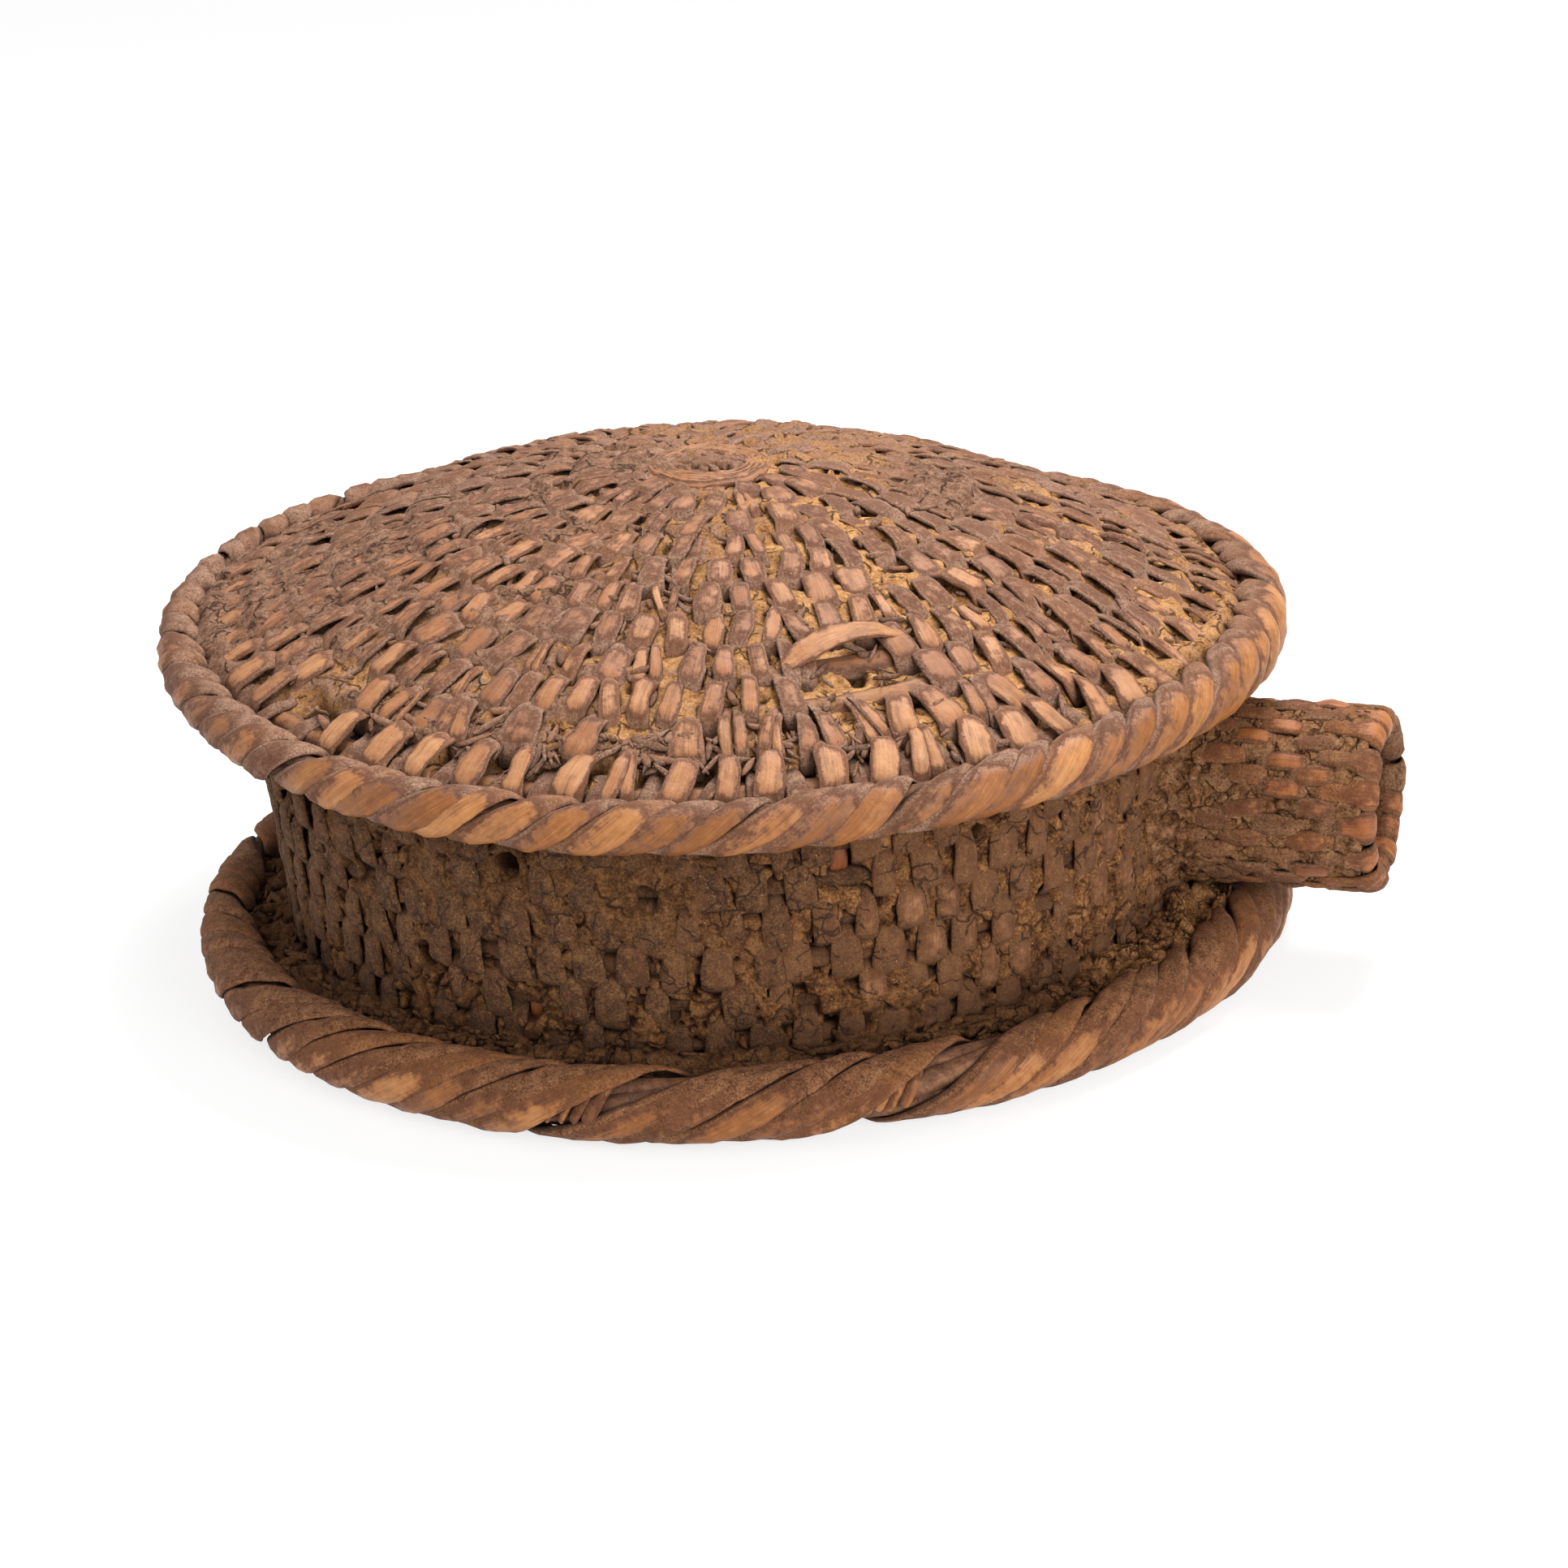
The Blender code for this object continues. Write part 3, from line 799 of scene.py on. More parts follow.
def top_keep(radius, angles, rng):
    """Stitches that are still there: some have fallen out, most of them on the broken patches."""
    chance = np.full(len(angles), 0.985)
    reach = 9.5 if radius > 112 * MM else 6.5
    broken = (degrees_from(angles, BARE_RODS - 0.5) < reach) & (radius > 100 * MM) & (radius < 128 * MM)
    chance[broken] = 0.0
    torn = (degrees_from(angles, TORN_ROW) < 26.0) & (radius > 130 * MM) & (radius < 140 * MM)
    chance[torn] = 0.55
    gap = (degrees_from(angles, STITCH_GAP) < 4.0) & (radius > 130 * MM)
    chance[gap] = 0.0
    return rng.random(len(angles)) < chance


def flush_with_border(angles):
    """At the sides and at the back the last stitches run right up to the border."""
    return smooth(48, 80, degrees_from(angles, FRONT - 14.0))


def build_top_stitches():
    rng = np.random.default_rng(11)
    radii = TOP_RODS[:, 0]
    layout = stitch_rows(radii, STITCH_PITCH, rng)
    outermost = steps_round(LAST_ROW) + rng.normal(0, 0.008, LAST_ROW)
    rows = []
    for radius, angles in zip(radii[:-1], layout[:-1]):
        angles = angles[top_keep(radius, angles, rng)]
        inner = min(13.4 * MM, radius - 17 * MM)
        rows.append(face_row(top_at, radius, angles, rng, 0.68, CREST, inner, 7.0 * MM))
    high = outermost[top_keep(radii[-1], outermost, rng)]
    spots, grain, worn, tone, depth = face_row(
        top_at, radii[-1], high, rng, wide=0.55, crest=CREST + 1.0 * MM, inner=14.5 * MM, outer=7.5 * MM,
        lean=-0.22, lifted=flush_with_border, reach=3.0 * MM
    )
    # The high outer row gets lighter wood: a painted highlight, along with wear.
    rows.append((spots, grain, worn, 0.5 + 0.5 * tone, depth))
    low = outermost + np.pi / LAST_ROW
    spots, grain, worn, tone, depth = face_row(
        top_at, radii[-1] + 7.0 * MM, low, rng, wide=0.44, crest=CREST - 1.5 * MM, inner=13.0 * MM,
        outer=5.5 * MM, lean=-0.15, lifted=flush_with_border
    )
    # The low outer row, between the high stitches, is darker: painted shade, with more dust.
    rows.append((spots, grain, 0.55 * worn, 0.6 * tone, 0.8 * depth))
    build_stitches("top_inner_stitches", rows[:8], top_look, ["top_splints"], top_wear)
    build_stitches("top_outer_stitches", rows[8:], top_look, ["top_splints"], top_wear)


def top_wear(spots):
    """The left and the back are more dusty than the front; the outermost row at the front shows more bare
    wood, partly wear and partly a painted highlight.
    """
    angle = direction(spots)
    radius = np.hypot(spots[..., 0], spots[..., 1])
    front = 1 - smooth(30, 110, degrees_from(angle, FRONT - 12.0))
    last = smooth(130 * MM, 136 * MM, radius)
    return 0.56 + 0.40 * front - 0.18 * (1 - smooth(30 * MM, 95 * MM, radius)) + 0.30 * last * front


def build_base_stitches():
    rng = np.random.default_rng(12)
    radii = BASE_RODS[:, 0]
    rows = []
    crest = CREST - 0.6 * MM
    for radius, angles in zip(radii, stitch_rows(radii, STITCH_PITCH, rng)):
        rows.append(face_row(base_at, radius, angles, rng, 0.62, crest, 12.8 * MM, 7.0 * MM))
    last, edge = angles + np.diff(angles, append=angles[0] + 2 * np.pi) / 2, radii[-1] + 8.0 * MM
    rows.append(face_row(base_at, edge, last, rng, 0.62, crest - 0.2 * MM, 11.0 * MM, 9.0 * MM))
    build_stitches("base_inner_stitches", rows[:7], top_look, ["bottom_splints"], lambda spots: 0.8)
    build_stitches("base_outer_stitches", rows[7:], top_look, ["bottom_splints"], lambda spots: 0.8)


def build_overhang_stitches():
    """The stitches of the top face's outermost rows, seen from below, where the face overhangs the wall."""
    rng = np.random.default_rng(13)
    count = 72
    angles = steps_round(count) + rng.normal(0, 0.008, count)

    def underside(radius, angle, height):
        return top_at(radius, angle, -height)

    rows = [face_row(underside, TOP_RODS[-1, 0] + 3 * MM, angles, rng, 0.62, CREST, 9 * MM, 8 * MM)]
    build_stitches("overhang_stitches", rows, wall_look, ["top_overhang_splints"], lambda spots: 0.5)


def build_lifted_splinter():
    """A long splint that has come off its stitches and lies across the bare rods."""
    stations = 30
    share = np.linspace(0, 1, stations)
    radius = 108 * MM
    start, end = math.radians(-61.5), math.radians(-42.5)
    side = (radius * (start + (end - start) * share))[None]
    along = (radius + 3.5 * MM - 6.5 * MM * np.sin(2.5 * share**0.9))[None]
    height = (4.6 * MM + 3.4 * MM * np.sin(np.pi * share) ** 0.8)[None]
    heading = np.arctan2(np.gradient(side, axis=1), np.gradient(along, axis=1))
    width = (1.2 + 5.6 * np.sin(np.pi * share**0.55) ** 0.9)[None] * MM

    def place(a, b, h):
        return top_at(a, b / radius, h)

    spots, grain, (across, over) = strip_points(
        place, along, side, height, heading, width, 1.5 * MM, cup=0.6 * MM, roll=0.9 * MM
    )
    worn = np.where(over > 0, 0.95, 0.3) * (1 - 0.5 * np.abs(across) ** 3)
    full = np.ones(across.shape)
    build("lifted_splinter", spots, tube_faces(*spots.shape[:3]), top_look, "willow_splint", [],
          bumps=((4 * MM, 0.5 * MM), (1.5 * MM, 0.15 * MM)),
          grain=grain, worn=worn, tone=0.8 * full, depth=full)


def bits(place, along, side, height, size, rng):
    """Short lumps and broken ends in all directions: points, grain and section coordinates."""
    count = len(along)
    share = np.linspace(0, 1, 7)
    heading = rng.uniform(0, 2 * np.pi, (count, 1))
    length = size[:, None] * rng.uniform(0.9, 3.6, (count, 1)) ** 1.1
    reach = length * (share - 0.5)
    width = size[:, None] * rng.uniform(0.4, 1.0, (count, 1)) * (0.25 + 0.75 * np.sin(np.pi * share) ** 0.5)
    along = along[:, None] + np.cos(heading) * reach
    side = side[:, None] + np.sin(heading) * reach
    height = height[:, None] + 0 * reach
    thick = size[:, None] * rng.uniform(0.35, 0.75, (count, 1))
    cup = -0.12 * size[:, None]
    return strip_points(place, along, side, height, heading, width, thick, cup=cup, corners=8)


def build_top_bits():
    """Broken bits of splint and crumbs of mud between the stitches, most of them before the last row."""
    rng = np.random.default_rng(71)
    before_last = rng.uniform(131, 141, 230), rng.uniform(-118, -48, 230)
    anywhere = 148 * np.sqrt(rng.uniform(0.06, 1, 900)), rng.uniform(-180, 180, 900)
    along = np.concatenate([before_last[0], anywhere[0]]) * MM
    angle = np.radians(np.concatenate([before_last[1], anywhere[1]]))
    side = angle * along
    size = rng.uniform(0.8, 2.8, len(along)) * MM
    height = rng.uniform(3.2, 5.0, len(along)) * MM
    start = angle[:, None, None]

    def place(a, b, h):
        return top_at(a, start + (b - side[:, None, None]) / along[:, None, None], h)

    spots, grain, (across, _) = bits(place, along, side, height, size, rng)
    shape = across.shape
    build("top_broken_bits", spots, tube_faces(*shape), top_look, "willow_splint", [],
          bumps=((1.4 * MM, 0.25 * MM),), grain=own_grain(grain, rng),
          worn=spread_column(rng.uniform(0.0, 0.5, len(along)) ** 2, shape),
          tone=spread_column(rng.random(len(along)), shape),
          depth=spread_column(rng.uniform(0.45, 1.0, len(along)), shape))


# ---------------------------------------------------------------- compound and rods of the faces


def disc_rings(first, last, step, coarse):
    """Radii of rings from first to last, and how many points each has: long rings have twice as many."""
    radii = np.arange(first, last + step / 2, step)
    needed = [math.ceil(math.log2(2 * math.pi * radius / (coarse * 1.25 * MM))) for radius in radii]
    return radii, np.array([coarse * 2 ** max(0, need) for need in needed])


def build_disc_fill(name, surface, level, last, thickness, nodes, dusty_at):
    """The compound of a face: a rough outer side and a plain lining inside."""
    radii, counts = disc_rings(2 * MM, last, 1.05 * MM, 15)
    lining = last * np.array([1.0, 0.87, 0.80, 0.5, 0.25, 0.12])
    under = thickness * np.array([0.3, 0.3, 1.0, 1.0, 1.0, 1.0])
    lining_counts = counts[-1] // np.array([1, 1, 2, 4, 8, 16])
    spots, depths, dusts = [surface(np.zeros(1), np.zeros(1), np.full(1, 2 * MM))], [np.ones(1)], [np.ones(1)]
    for radius, count in zip(radii, counts):
        angle = steps_round(count)
        flat = flat_at(radius, angle)
        height = level(flat, radius, angle)
        spots.append(surface(np.full(count, radius), angle, height))
        # Lower compound gets a smaller depth and so a darker colour: painted shade in the hollows, together
        # with dirt.
        depths.append(smooth(-1.8 * MM, 2.0 * MM, height))
        dusts.append(dusty_at(radius, angle, height))
    for radius, count, depth in zip([*lining, 0.0], [*lining_counts, 1], [*under, thickness]):
        spots.append(surface(np.full(count, radius), steps_round(count), np.full(count, -depth)))
        depths.append(np.ones(count))
        dusts.append(np.zeros(count))
    every = [1, *counts, *lining_counts, 1]
    build(name, np.concatenate(spots), ring_faces(every), compound_look, "sealing_compound", nodes,
          bumps=((1.6 * MM, 0.20 * MM),), depth=np.concatenate(depths), dusty=np.concatenate(dusts))


def over_rows(radius, rods):
    """1 over the centre of a rod, -1 midway between two."""
    return np.cos(2 * np.pi * (radius - rods[0, 0]) / ROW)


def plaster_at(radius, angle):
    """1 in the middle of the smooth plastered place at the right of the crown, 0 away from it."""
    return np.exp(-((degrees_from(angle, PLASTERED) / 20) ** 2) - ((radius - 69 * MM) / (15 * MM)) ** 2)


def top_level(flat, radius, angle):
    """How high the compound stands between the top's stitches."""
    height = 3.5 * MM + 0.7 * MM * over_rows(radius, TOP_RODS)
    height = height + 0.9 * MM * layered(flat, 11 * MM, 40) + 0.6 * MM * layered(flat, 3.5 * MM, 44)
    height += 0.7 * MM * smooth(85 * MM, 40 * MM, radius)
    height += 1.2 * MM * smooth(50, 95, degrees_from(angle, FRONT))
    height += 2.2 * MM * smooth(141 * MM, 149 * MM, radius) * flush_with_border(angle)
    caked = smooth(62, 28, degrees_from(angle, CAKED)) * smooth(40 * MM, 75 * MM, radius)
    height += 1.4 * MM * caked * smooth(-0.5, 0.4, layered(flat, 22 * MM, 48))
    plaster = plaster_at(radius, angle)
    height += 2.6 * MM * plaster
    pits = smooth(0.38, 0.75, layered(flat, 6 * MM, 52)) * 3.0 * MM
    height -= pits * (1 - 0.7 * caked) * (1 - plaster)
    broken = smooth(12, 8, degrees_from(angle, BARE_RODS)) * smooth(97 * MM, 102 * MM, radius)
    height -= 2.0 * MM * broken * smooth(132 * MM, 126 * MM, radius)
    inside = smooth(155 * MM, 150 * MM, radius)
    hole = smooth(5, 3, degrees_from(angle, STITCH_GAP)) * smooth(136 * MM, 140 * MM, radius) * inside
    hollow = smooth(135 * MM, 141 * MM, radius) * smooth(62, 42, degrees_from(angle, TORN_ROW)) * inside
    return height - 3.4 * MM * hollow * smooth(-0.6, 0.2, noise(flat, 12 * MM, 56)) - 4 * MM * hole


def top_dusty(radius, angle, height):
    """Grey dust lies on the high places and on the left; the low places show tan compound."""
    left = smooth(100, 30, degrees_from(angle, CAKED - 10.0))
    back = smooth(70, 130, degrees_from(angle, FRONT))
    high = smooth(3.1 * MM, 5.1 * MM, height)
    return 0.02 + 0.38 * high + 0.38 * left + 0.15 * back + 0.7 * plaster_at(radius, angle)


def base_level(flat, radius, _angle):
    height = 2.9 * MM + 0.6 * MM * over_rows(radius, BASE_RODS)
    return height + 0.7 * MM * layered(flat, 11 * MM, 60) + 0.5 * MM * layered(flat, 3.5 * MM, 64)


def base_dusty(_radius, _angle, height):
    return 0.35 + 0.3 * smooth(2.0 * MM, 4.0 * MM, height)


def build_shoot(name, surface, radius, size, node, look, seed, turns=(0.0, 2 * math.pi), leaning_bump=0.5):
    """One turn of a foundation rod: not quite round or even, closed unless turns leave a gap."""
    rng = np.random.default_rng(seed)
    corners = 10
    closed = turns[1] - turns[0] > 6.28
    stations = int(max(40, round((turns[1] - turns[0]) * radius / (3.0 * MM))))
    turn = turns[0] + np.arange(stations) * (turns[1] - turns[0]) / (stations if closed else stations - 1)
    around = steps_round(corners)
    where = flat_at(radius, turn)
    thick = size * (0.95 + 0.10 * noise(where, 17 * MM, seed))
    middle = radius + leaning_bump * MM * noise(where, 30 * MM, seed + 1)
    out = middle[:, None] + thick[:, None] * np.cos(around)
    up = thick[:, None] * np.sin(around)
    spots = surface(out, turn[:, None] + 0 * out, up)
    grain = np.stack([turn[:, None] * radius + 0 * out, around * size + 0 * out, 0 * out], axis=-1)
    worn = smooth(0.2, 1.0, np.sin(around))[None] * np.ones_like(out)
    build(name, spots[None], tube_faces(1, stations, corners, closed=closed), look, "willow_rod", [node],
          bumps=((3 * MM, 0.18 * MM),), grain=grain, worn=worn, tone=np.full(out.shape, rng.random()),
          depth=np.full(out.shape, 0.65))


def build_face_shoots():
    for number, (row, node) in enumerate(zip(TOP_RODS, TOP_ROD_NODES)):
        build_shoot(f"top_shoot_{number + 1:02d}", top_at, row[0], ROD, node, rod_look, 200 + number)
    for number, (row, node) in enumerate(zip(BASE_RODS, BASE_ROD_NODES)):
        build_shoot(f"base_shoot_{number + 1:02d}", base_at, row[0], ROD, node, hidden_rod_look, 230 + number)


def build_coil(name, surface, curve, node, last, seed):
    """The wound start of a face: fine concentric windings round a knotted middle, as one thick disc."""
    outside = surface is top_at
    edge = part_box(node)[1][2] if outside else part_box(node)[0][2]
    middle_height = abs(edge - curve[-1])
    radii = np.arange(0.5 * MM, last + 0.2 * MM, 0.4 * MM)
    count = 240
    angle = np.broadcast_to(steps_round(count), (len(radii), count))
    radius = np.broadcast_to(radii[:, None], angle.shape)
    flat = np.stack([radius * np.cos(angle), radius * np.sin(angle) * 1.05, 0 * radius], axis=-1)
    wound = smooth(9.5 * MM, 11.0 * MM, radius + 0.8 * MM * noise(flat, 6 * MM, seed))
    spiral = np.cos(2 * np.pi * radius / (1.5 * MM) + angle)
    border, own = cracks(flat, 5.2 * MM, seed)
    groove = smooth(0.26, 0.02, border) * smooth(-0.35, 0.15, noise(flat, 6 * MM, seed + 5))
    knots = 0.9 * MM * (own - 0.5) - 2.6 * MM * groove
    height = middle_height - 0.3 * MM + wound * 0.50 * MM * spiral + (1 - wound) * knots
    height = height + 0.5 * MM * layered(flat, 9 * MM, seed + 9) - 1.6 * MM * smooth(17.2 * MM, last, radius)
    under = np.full((2, count), -3.0 * MM)
    far = np.broadcast_to(np.array([[last], [0.5 * MM]]), (2, count))
    spots = np.concatenate([surface(radius, angle, height), surface(far, angle[:2], under)])
    total = len(spots) * count
    pole_up = surface(np.zeros(1), np.zeros(1), np.array([height[0].mean()]))
    pole_down = surface(np.zeros(1), np.zeros(1), np.full(1, -3.0 * MM))
    points = np.concatenate([pole_up, spots.reshape(-1, 3), pole_down])
    wood = np.stack([angle * radius, radius, 0 * radius], axis=-1).reshape(-1, 3)
    grain = np.concatenate([np.zeros((1, 3)), wood, np.zeros((2 * count + 1, 3))])
    worn = 0.30 + 0.22 * wound + 0.34 * wound * spiral
    values = np.concatenate([[0.3], worn.ravel(), np.zeros(2 * count + 1)])
    # The grooves between the knots are darkened: painted shade, together with dirt.
    pit = smooth(-3.6 * MM, -0.9 * MM, knots * (1 - wound))
    depth = np.concatenate([[1.0], pit.ravel(), np.ones(2 * count + 1)])
    build(name, points, ring_faces([1, *[count] * len(spots), 1]), top_look, "willow_rod", [node],
          bumps=((1.8 * MM, 0.15 * MM),), grain=grain, worn=values, tone=np.full(total + 2, 0.5), depth=depth)


# ---------------------------------------------------------------- borders


def wrap_turns(count, seed, gone=()):
    """Where a border's strips start; those nearest the directions in gone are missing."""
    rng = np.random.default_rng(seed)
    turn = spread_round(count, 0.11, rng)
    for place_gone in gone:
        turn = np.delete(turn, np.argmin(degrees_from(turn, place_gone)))
    return turn


def build_border(name, ring, tube_at, leaning, turn, width, slant, start, end, seed, look, nodes, swell,
                 dusty, wear):
    """The wrapping of a border: slanting strips, the lower edge of each lying over the next one.

    start and end are the angles round the border's own core, in degrees, between which the strips run,
    and dusty is the part of that way over which dust covers them.
    """
    rng = np.random.default_rng(seed)
    stations, corners = 40, 16
    share = np.linspace(0, 1, stations)
    count = len(turn)
    first = np.radians(start + rng.normal(0, 6, (count, 1)))
    around = first + (np.radians(end) - first) * share
    tilt = slant + rng.normal(0, 0.045, (count, 1))
    middle = np.radians(20.0)
    side = (around - middle) * tube_at(turn)[:, None]
    along = side / np.tan(tilt)
    tucked = (1 - smooth(0.0, 0.12, share)) + smooth(0.90, 1.0, share)
    height = -1.8 * MM * tucked + rng.normal(0, 0.18, (count, 1)) * MM + 0 * side
    taper = (0.62 + 0.38 * smooth(0.04, 0.30, share)) * (1 - 0.22 * smooth(0.62, 1.0, share))
    body = width * rng.normal(1, 0.11, (count, 1)) * taper
    where = np.stack([along + turn[:, None] * ring[0], side, 0 * side], axis=-1)
    body = body * (1 + 0.09 * noise(where, 8 * MM, seed))
    height = height + 0.25 * MM * noise(where, 6 * MM, seed + 1)
    heading = tilt + np.pi + 0 * side
    start_turn = turn[:, None, None]

    def place(a, b, h):
        tube_here = tube_at(start_turn)
        return border_at(ring, start_turn + a / ring[0], middle + b / tube_here, tube_here + h, leaning)

    roll = rng.normal(1.5, 0.35, (count, 1)) * MM * (0.15 + 0.85 * smooth(0.14, 0.42, share))
    spots, grain, (across, over) = strip_points(
        place, along, side, height, heading, body, 1.5 * MM, cup=-swell, roll=roll, corners=corners
    )
    worn, depth = wrapping_values(np.degrees(around), height, across, over, dusty, rng)
    build(name, spots, tube_faces(*across.shape), look, "border_splint", nodes,
          bumps=((7 * MM, 0.35 * MM), (2.6 * MM, 0.20 * MM), (1.1 * MM, 0.06 * MM)),
          grain=own_grain(grain, rng), worn=worn * wear(spots),
          tone=spread_column(rng.random(count), across.shape), depth=depth)


def wrapping_values(around, height, across, over, dusty, rng):
    """A strip is worn on its outer side and raised edge; it is darkened where it dives under the next one and
    on its underside, painted shade together with dirt.
    """
    shape = across.shape
    angle = np.broadcast_to(around[..., None], shape)
    crown = smooth(-85, -30, angle) * (1 - 0.85 * smooth(*dusty, angle))
    worn = crown * smooth(-1.0, 0.05, across) * (1 - 0.4 * np.clip(across, 0, 1) ** 4)
    worn = worn * np.where(over > 0, 1.0, 0.0)
    worn = worn * spread_column(rng.uniform(0.66, 1.15, len(height)), shape)
    low = smooth(-1.6 * MM, 0.0, np.broadcast_to(height[..., None], shape))
    return worn, low * (1 - 0.80 * smooth(-0.66, -0.96, across)) * np.where(over > -0.2, 1.0, 0.35)


def top_border_wear(spots):
    """The wrapping is worn golden at the front, and dusty at the far left."""
    angle = direction(spots)
    return 1.0 - 0.35 * smooth(60, 30, degrees_from(angle, -170.0))


def base_border_wear(spots):
    angle = direction(spots)
    return 0.80 + 0.20 * smooth(100, 40, degrees_from(angle, -50.0))


def build_bundle(name, ring, size, leaning, node):
    """The shoots inside a border, lightly twisted together."""
    shoots, stations, corners = 5, 240, 8
    turn, around = steps_round(stations), steps_round(corners)
    points = []
    for shoot in range(shoots):
        twist = 5 * turn + shoot * 2 * np.pi / shoots
        ring_out = size * 0.52 * np.cos(twist)[:, None] + size * 0.46 * np.cos(around)
        ring_up = size * 0.52 * np.sin(twist)[:, None] + size * 0.46 * np.sin(around)
        out = np.hypot(ring_out, ring_up)
        points.append(border_at(ring, turn[:, None] + 0 * out, np.arctan2(ring_up, ring_out), out, leaning))
    spots = np.stack(points)
    shape = spots.shape[:3]
    grain = np.stack([np.broadcast_to(turn[None, :, None] * ring[0], shape),
                      np.broadcast_to(around * size, shape), np.zeros(shape)], axis=-1)
    build(name, spots, tube_faces(*shape, closed=True), rod_look, "willow_rod", [node],
          bumps=((3 * MM, 0.2 * MM),), grain=grain, worn=np.full(shape, 0.75), tone=np.full(shape, 0.4),
          depth=np.full(shape, 0.6))


def top_tube(turn):
    """The top border is thickest beside the neck, and thin at the front."""
    beside = ((turn + np.pi) % (2 * np.pi) - np.pi + 0.1) / 0.65
    return TOP_BORDER_TUBE * (0.93 + 0.17 * np.exp(-(beside**2))) - 1.0 * MM


def base_tube(turn):
    return BASE_BORDER_TUBE * (0.96 + 0.03 * np.sin(3 * turn + 1.0)) - 1.2 * MM


def sunk_tube(turn):
    return base_tube(turn) - 1.3 * MM


# ---------------------------------------------------------------- wall


def neck_distance(spots):
    """Distance from the neck's axis, for points on the neck's side of the drum."""
    near = np.hypot(spots[..., 1], spots[..., 2] - NECK_AXIS)
    return np.where(spots[..., 0] > 0, near, 1.0)


def wall_hole(level, angle, size):
    """1 in the middle of each hole of the wall's coat, 0 away from them."""
    share = 0.0
    for place, centre in WALL_HOLES:
        beside = np.radians(degrees_from(angle, centre)) * WALL_ROUND
        away = np.hypot((level - place * MM) * 0.8, beside)
        share = np.maximum(share, smooth(size, 0.35 * size, away))
    return share


def build_wall_stitches():
    """Upright stitches over the wall's rods, in brick order, coated with mud."""
    rng = np.random.default_rng(31)
    middle_radius = np.polyval(WALL_CURVE, WALL_ROWS.mean())
    count = round(2 * math.pi * middle_radius / (11.6 * MM))
    stations = 15
    share = np.linspace(0, 1, stations)
    rows = []
    for number, level in enumerate(WALL_ROWS):
        angles = spread_round(count, 0.07, rng, shift=0.5 * (number % 2))
        there = wall_at(np.full(count, level), angles, np.zeros(count))
        kept = rng.random(count) < (0.99 if number < 6 else 0.85)
        kept = kept & (wall_hole(level, angles, 6.5 * MM) == 0)
        angles = angles[(neck_distance(there) > NECK_SKIN + 4 * MM) & kept]
        some = len(angles)
        along = level + 10.4 * MM - 20.0 * MM * share + rng.normal(0, 0.5, (some, 1)) * MM
        tilt = np.pi + rng.normal(0, 0.06, (some, 1))
        side = np.tan(tilt) * (along - level)
        crest = CREST - 0.3 * MM + rng.normal(0, 0.3, (some, 1)) * MM
        height = over_rod(share, 1.6 * MM, crest, 0.3 * MM, 0.30, 0.74) + 0 * along
        width = 7.9 * MM * rng.normal(1, 0.10, (some, 1)) * (0.82 + 0.24 * smooth(0, 0.6, share))
        turn = angles[:, None, None]

        def place(a, b, h):
            return wall_at(a, turn + b / middle_radius, h)

        spots, grain, (across, over) = strip_points(
            place, along, side, height, tilt, width, SPLINT, cup=-0.5 * MM
        )
        shape = across.shape
        worn = middle_of(share, shape, (0.1, 0.4), (0.7, 0.9))
        worn = worn * (1 - 0.7 * np.abs(across) ** 2.5) * spread_column(rng.uniform(0.2, 1.0, some), shape)
        tone = 0.55 * rng.random(some) + 0.6 * smooth(70, 30, degrees_from(angles, NECK_SIDE + 2.0))
        # Low places, and the lower part of the wall, get a smaller depth and so a darker colour: painted
        # shade, together with mud.
        depth = smooth(1.0 * MM, 4.4 * MM, np.broadcast_to(height[..., None], shape) + over * 0.5 * MM)
        depth = depth * (0.40 + 0.60 * smooth(15 * MM, 42 * MM, spots[..., 2]))
        rows.append((spots, own_grain(grain, rng), worn, spread_column(tone, shape), depth))
    build_stitches("wall_stitches", rows, wall_look, ["wall_splints"], wall_wear)


def wall_wear(spots):
    """The wall beside the neck is a little cleaner than the rest."""
    angle = direction(spots)
    return 0.25 + 0.95 * smooth(70, 25, degrees_from(angle, NECK_SIDE))


def wall_level(flat, level, angle):
    """How high the mud stands on the wall: over the stitches in places, worn back to them in others."""
    height = 4.1 * MM + 0.8 * MM * layered(flat, 16 * MM, 70) + 0.55 * MM * layered(flat, 4 * MM, 74)
    smeared = smooth(36, 12, degrees_from(angle, -92.0)) * smooth(42 * MM, 56 * MM, level)
    beside_neck = smooth(50, 20, degrees_from(angle, 0.0)) * smooth(22 * MM, 34 * MM, level)
    plastered = np.maximum(smeared * smooth(90 * MM, 82 * MM, level), beside_neck)
    height += 1.1 * MM * plastered
    sunk = smooth(46 * MM, 24 * MM, level)
    height += 1.5 * MM * sunk * smooth(-0.9, 0.2, layered(flat, 22 * MM, 78))
    edge, own = cracks(flat + 1.2 * MM * noise(flat, 4 * MM, 80)[..., None], 8.0 * MM, 82)
    open_cracks = np.maximum(sunk, smooth(0.0, 0.5, noise(flat, 20 * MM, 83) + 0.25))
    height = height - 2.6 * MM * smooth(0.13, 0.0, edge) * open_cracks + 1.0 * MM * (own - 0.5) * sunk
    pits = smooth(0.28, 0.44, layered(flat, 6.0 * MM, 85)) * 7.0 * MM
    height -= pits * (1 - 0.85 * plastered)
    height += 0.8 * MM * wall_hole(level, angle, 9.0 * MM)
    height -= 8.0 * MM * wall_hole(level, angle, 4.2 * MM)
    return height - 5.5 * MM * smooth(78 * MM, 88 * MM, level) * smooth(-0.1, 0.25, noise(flat, 9 * MM, 88))


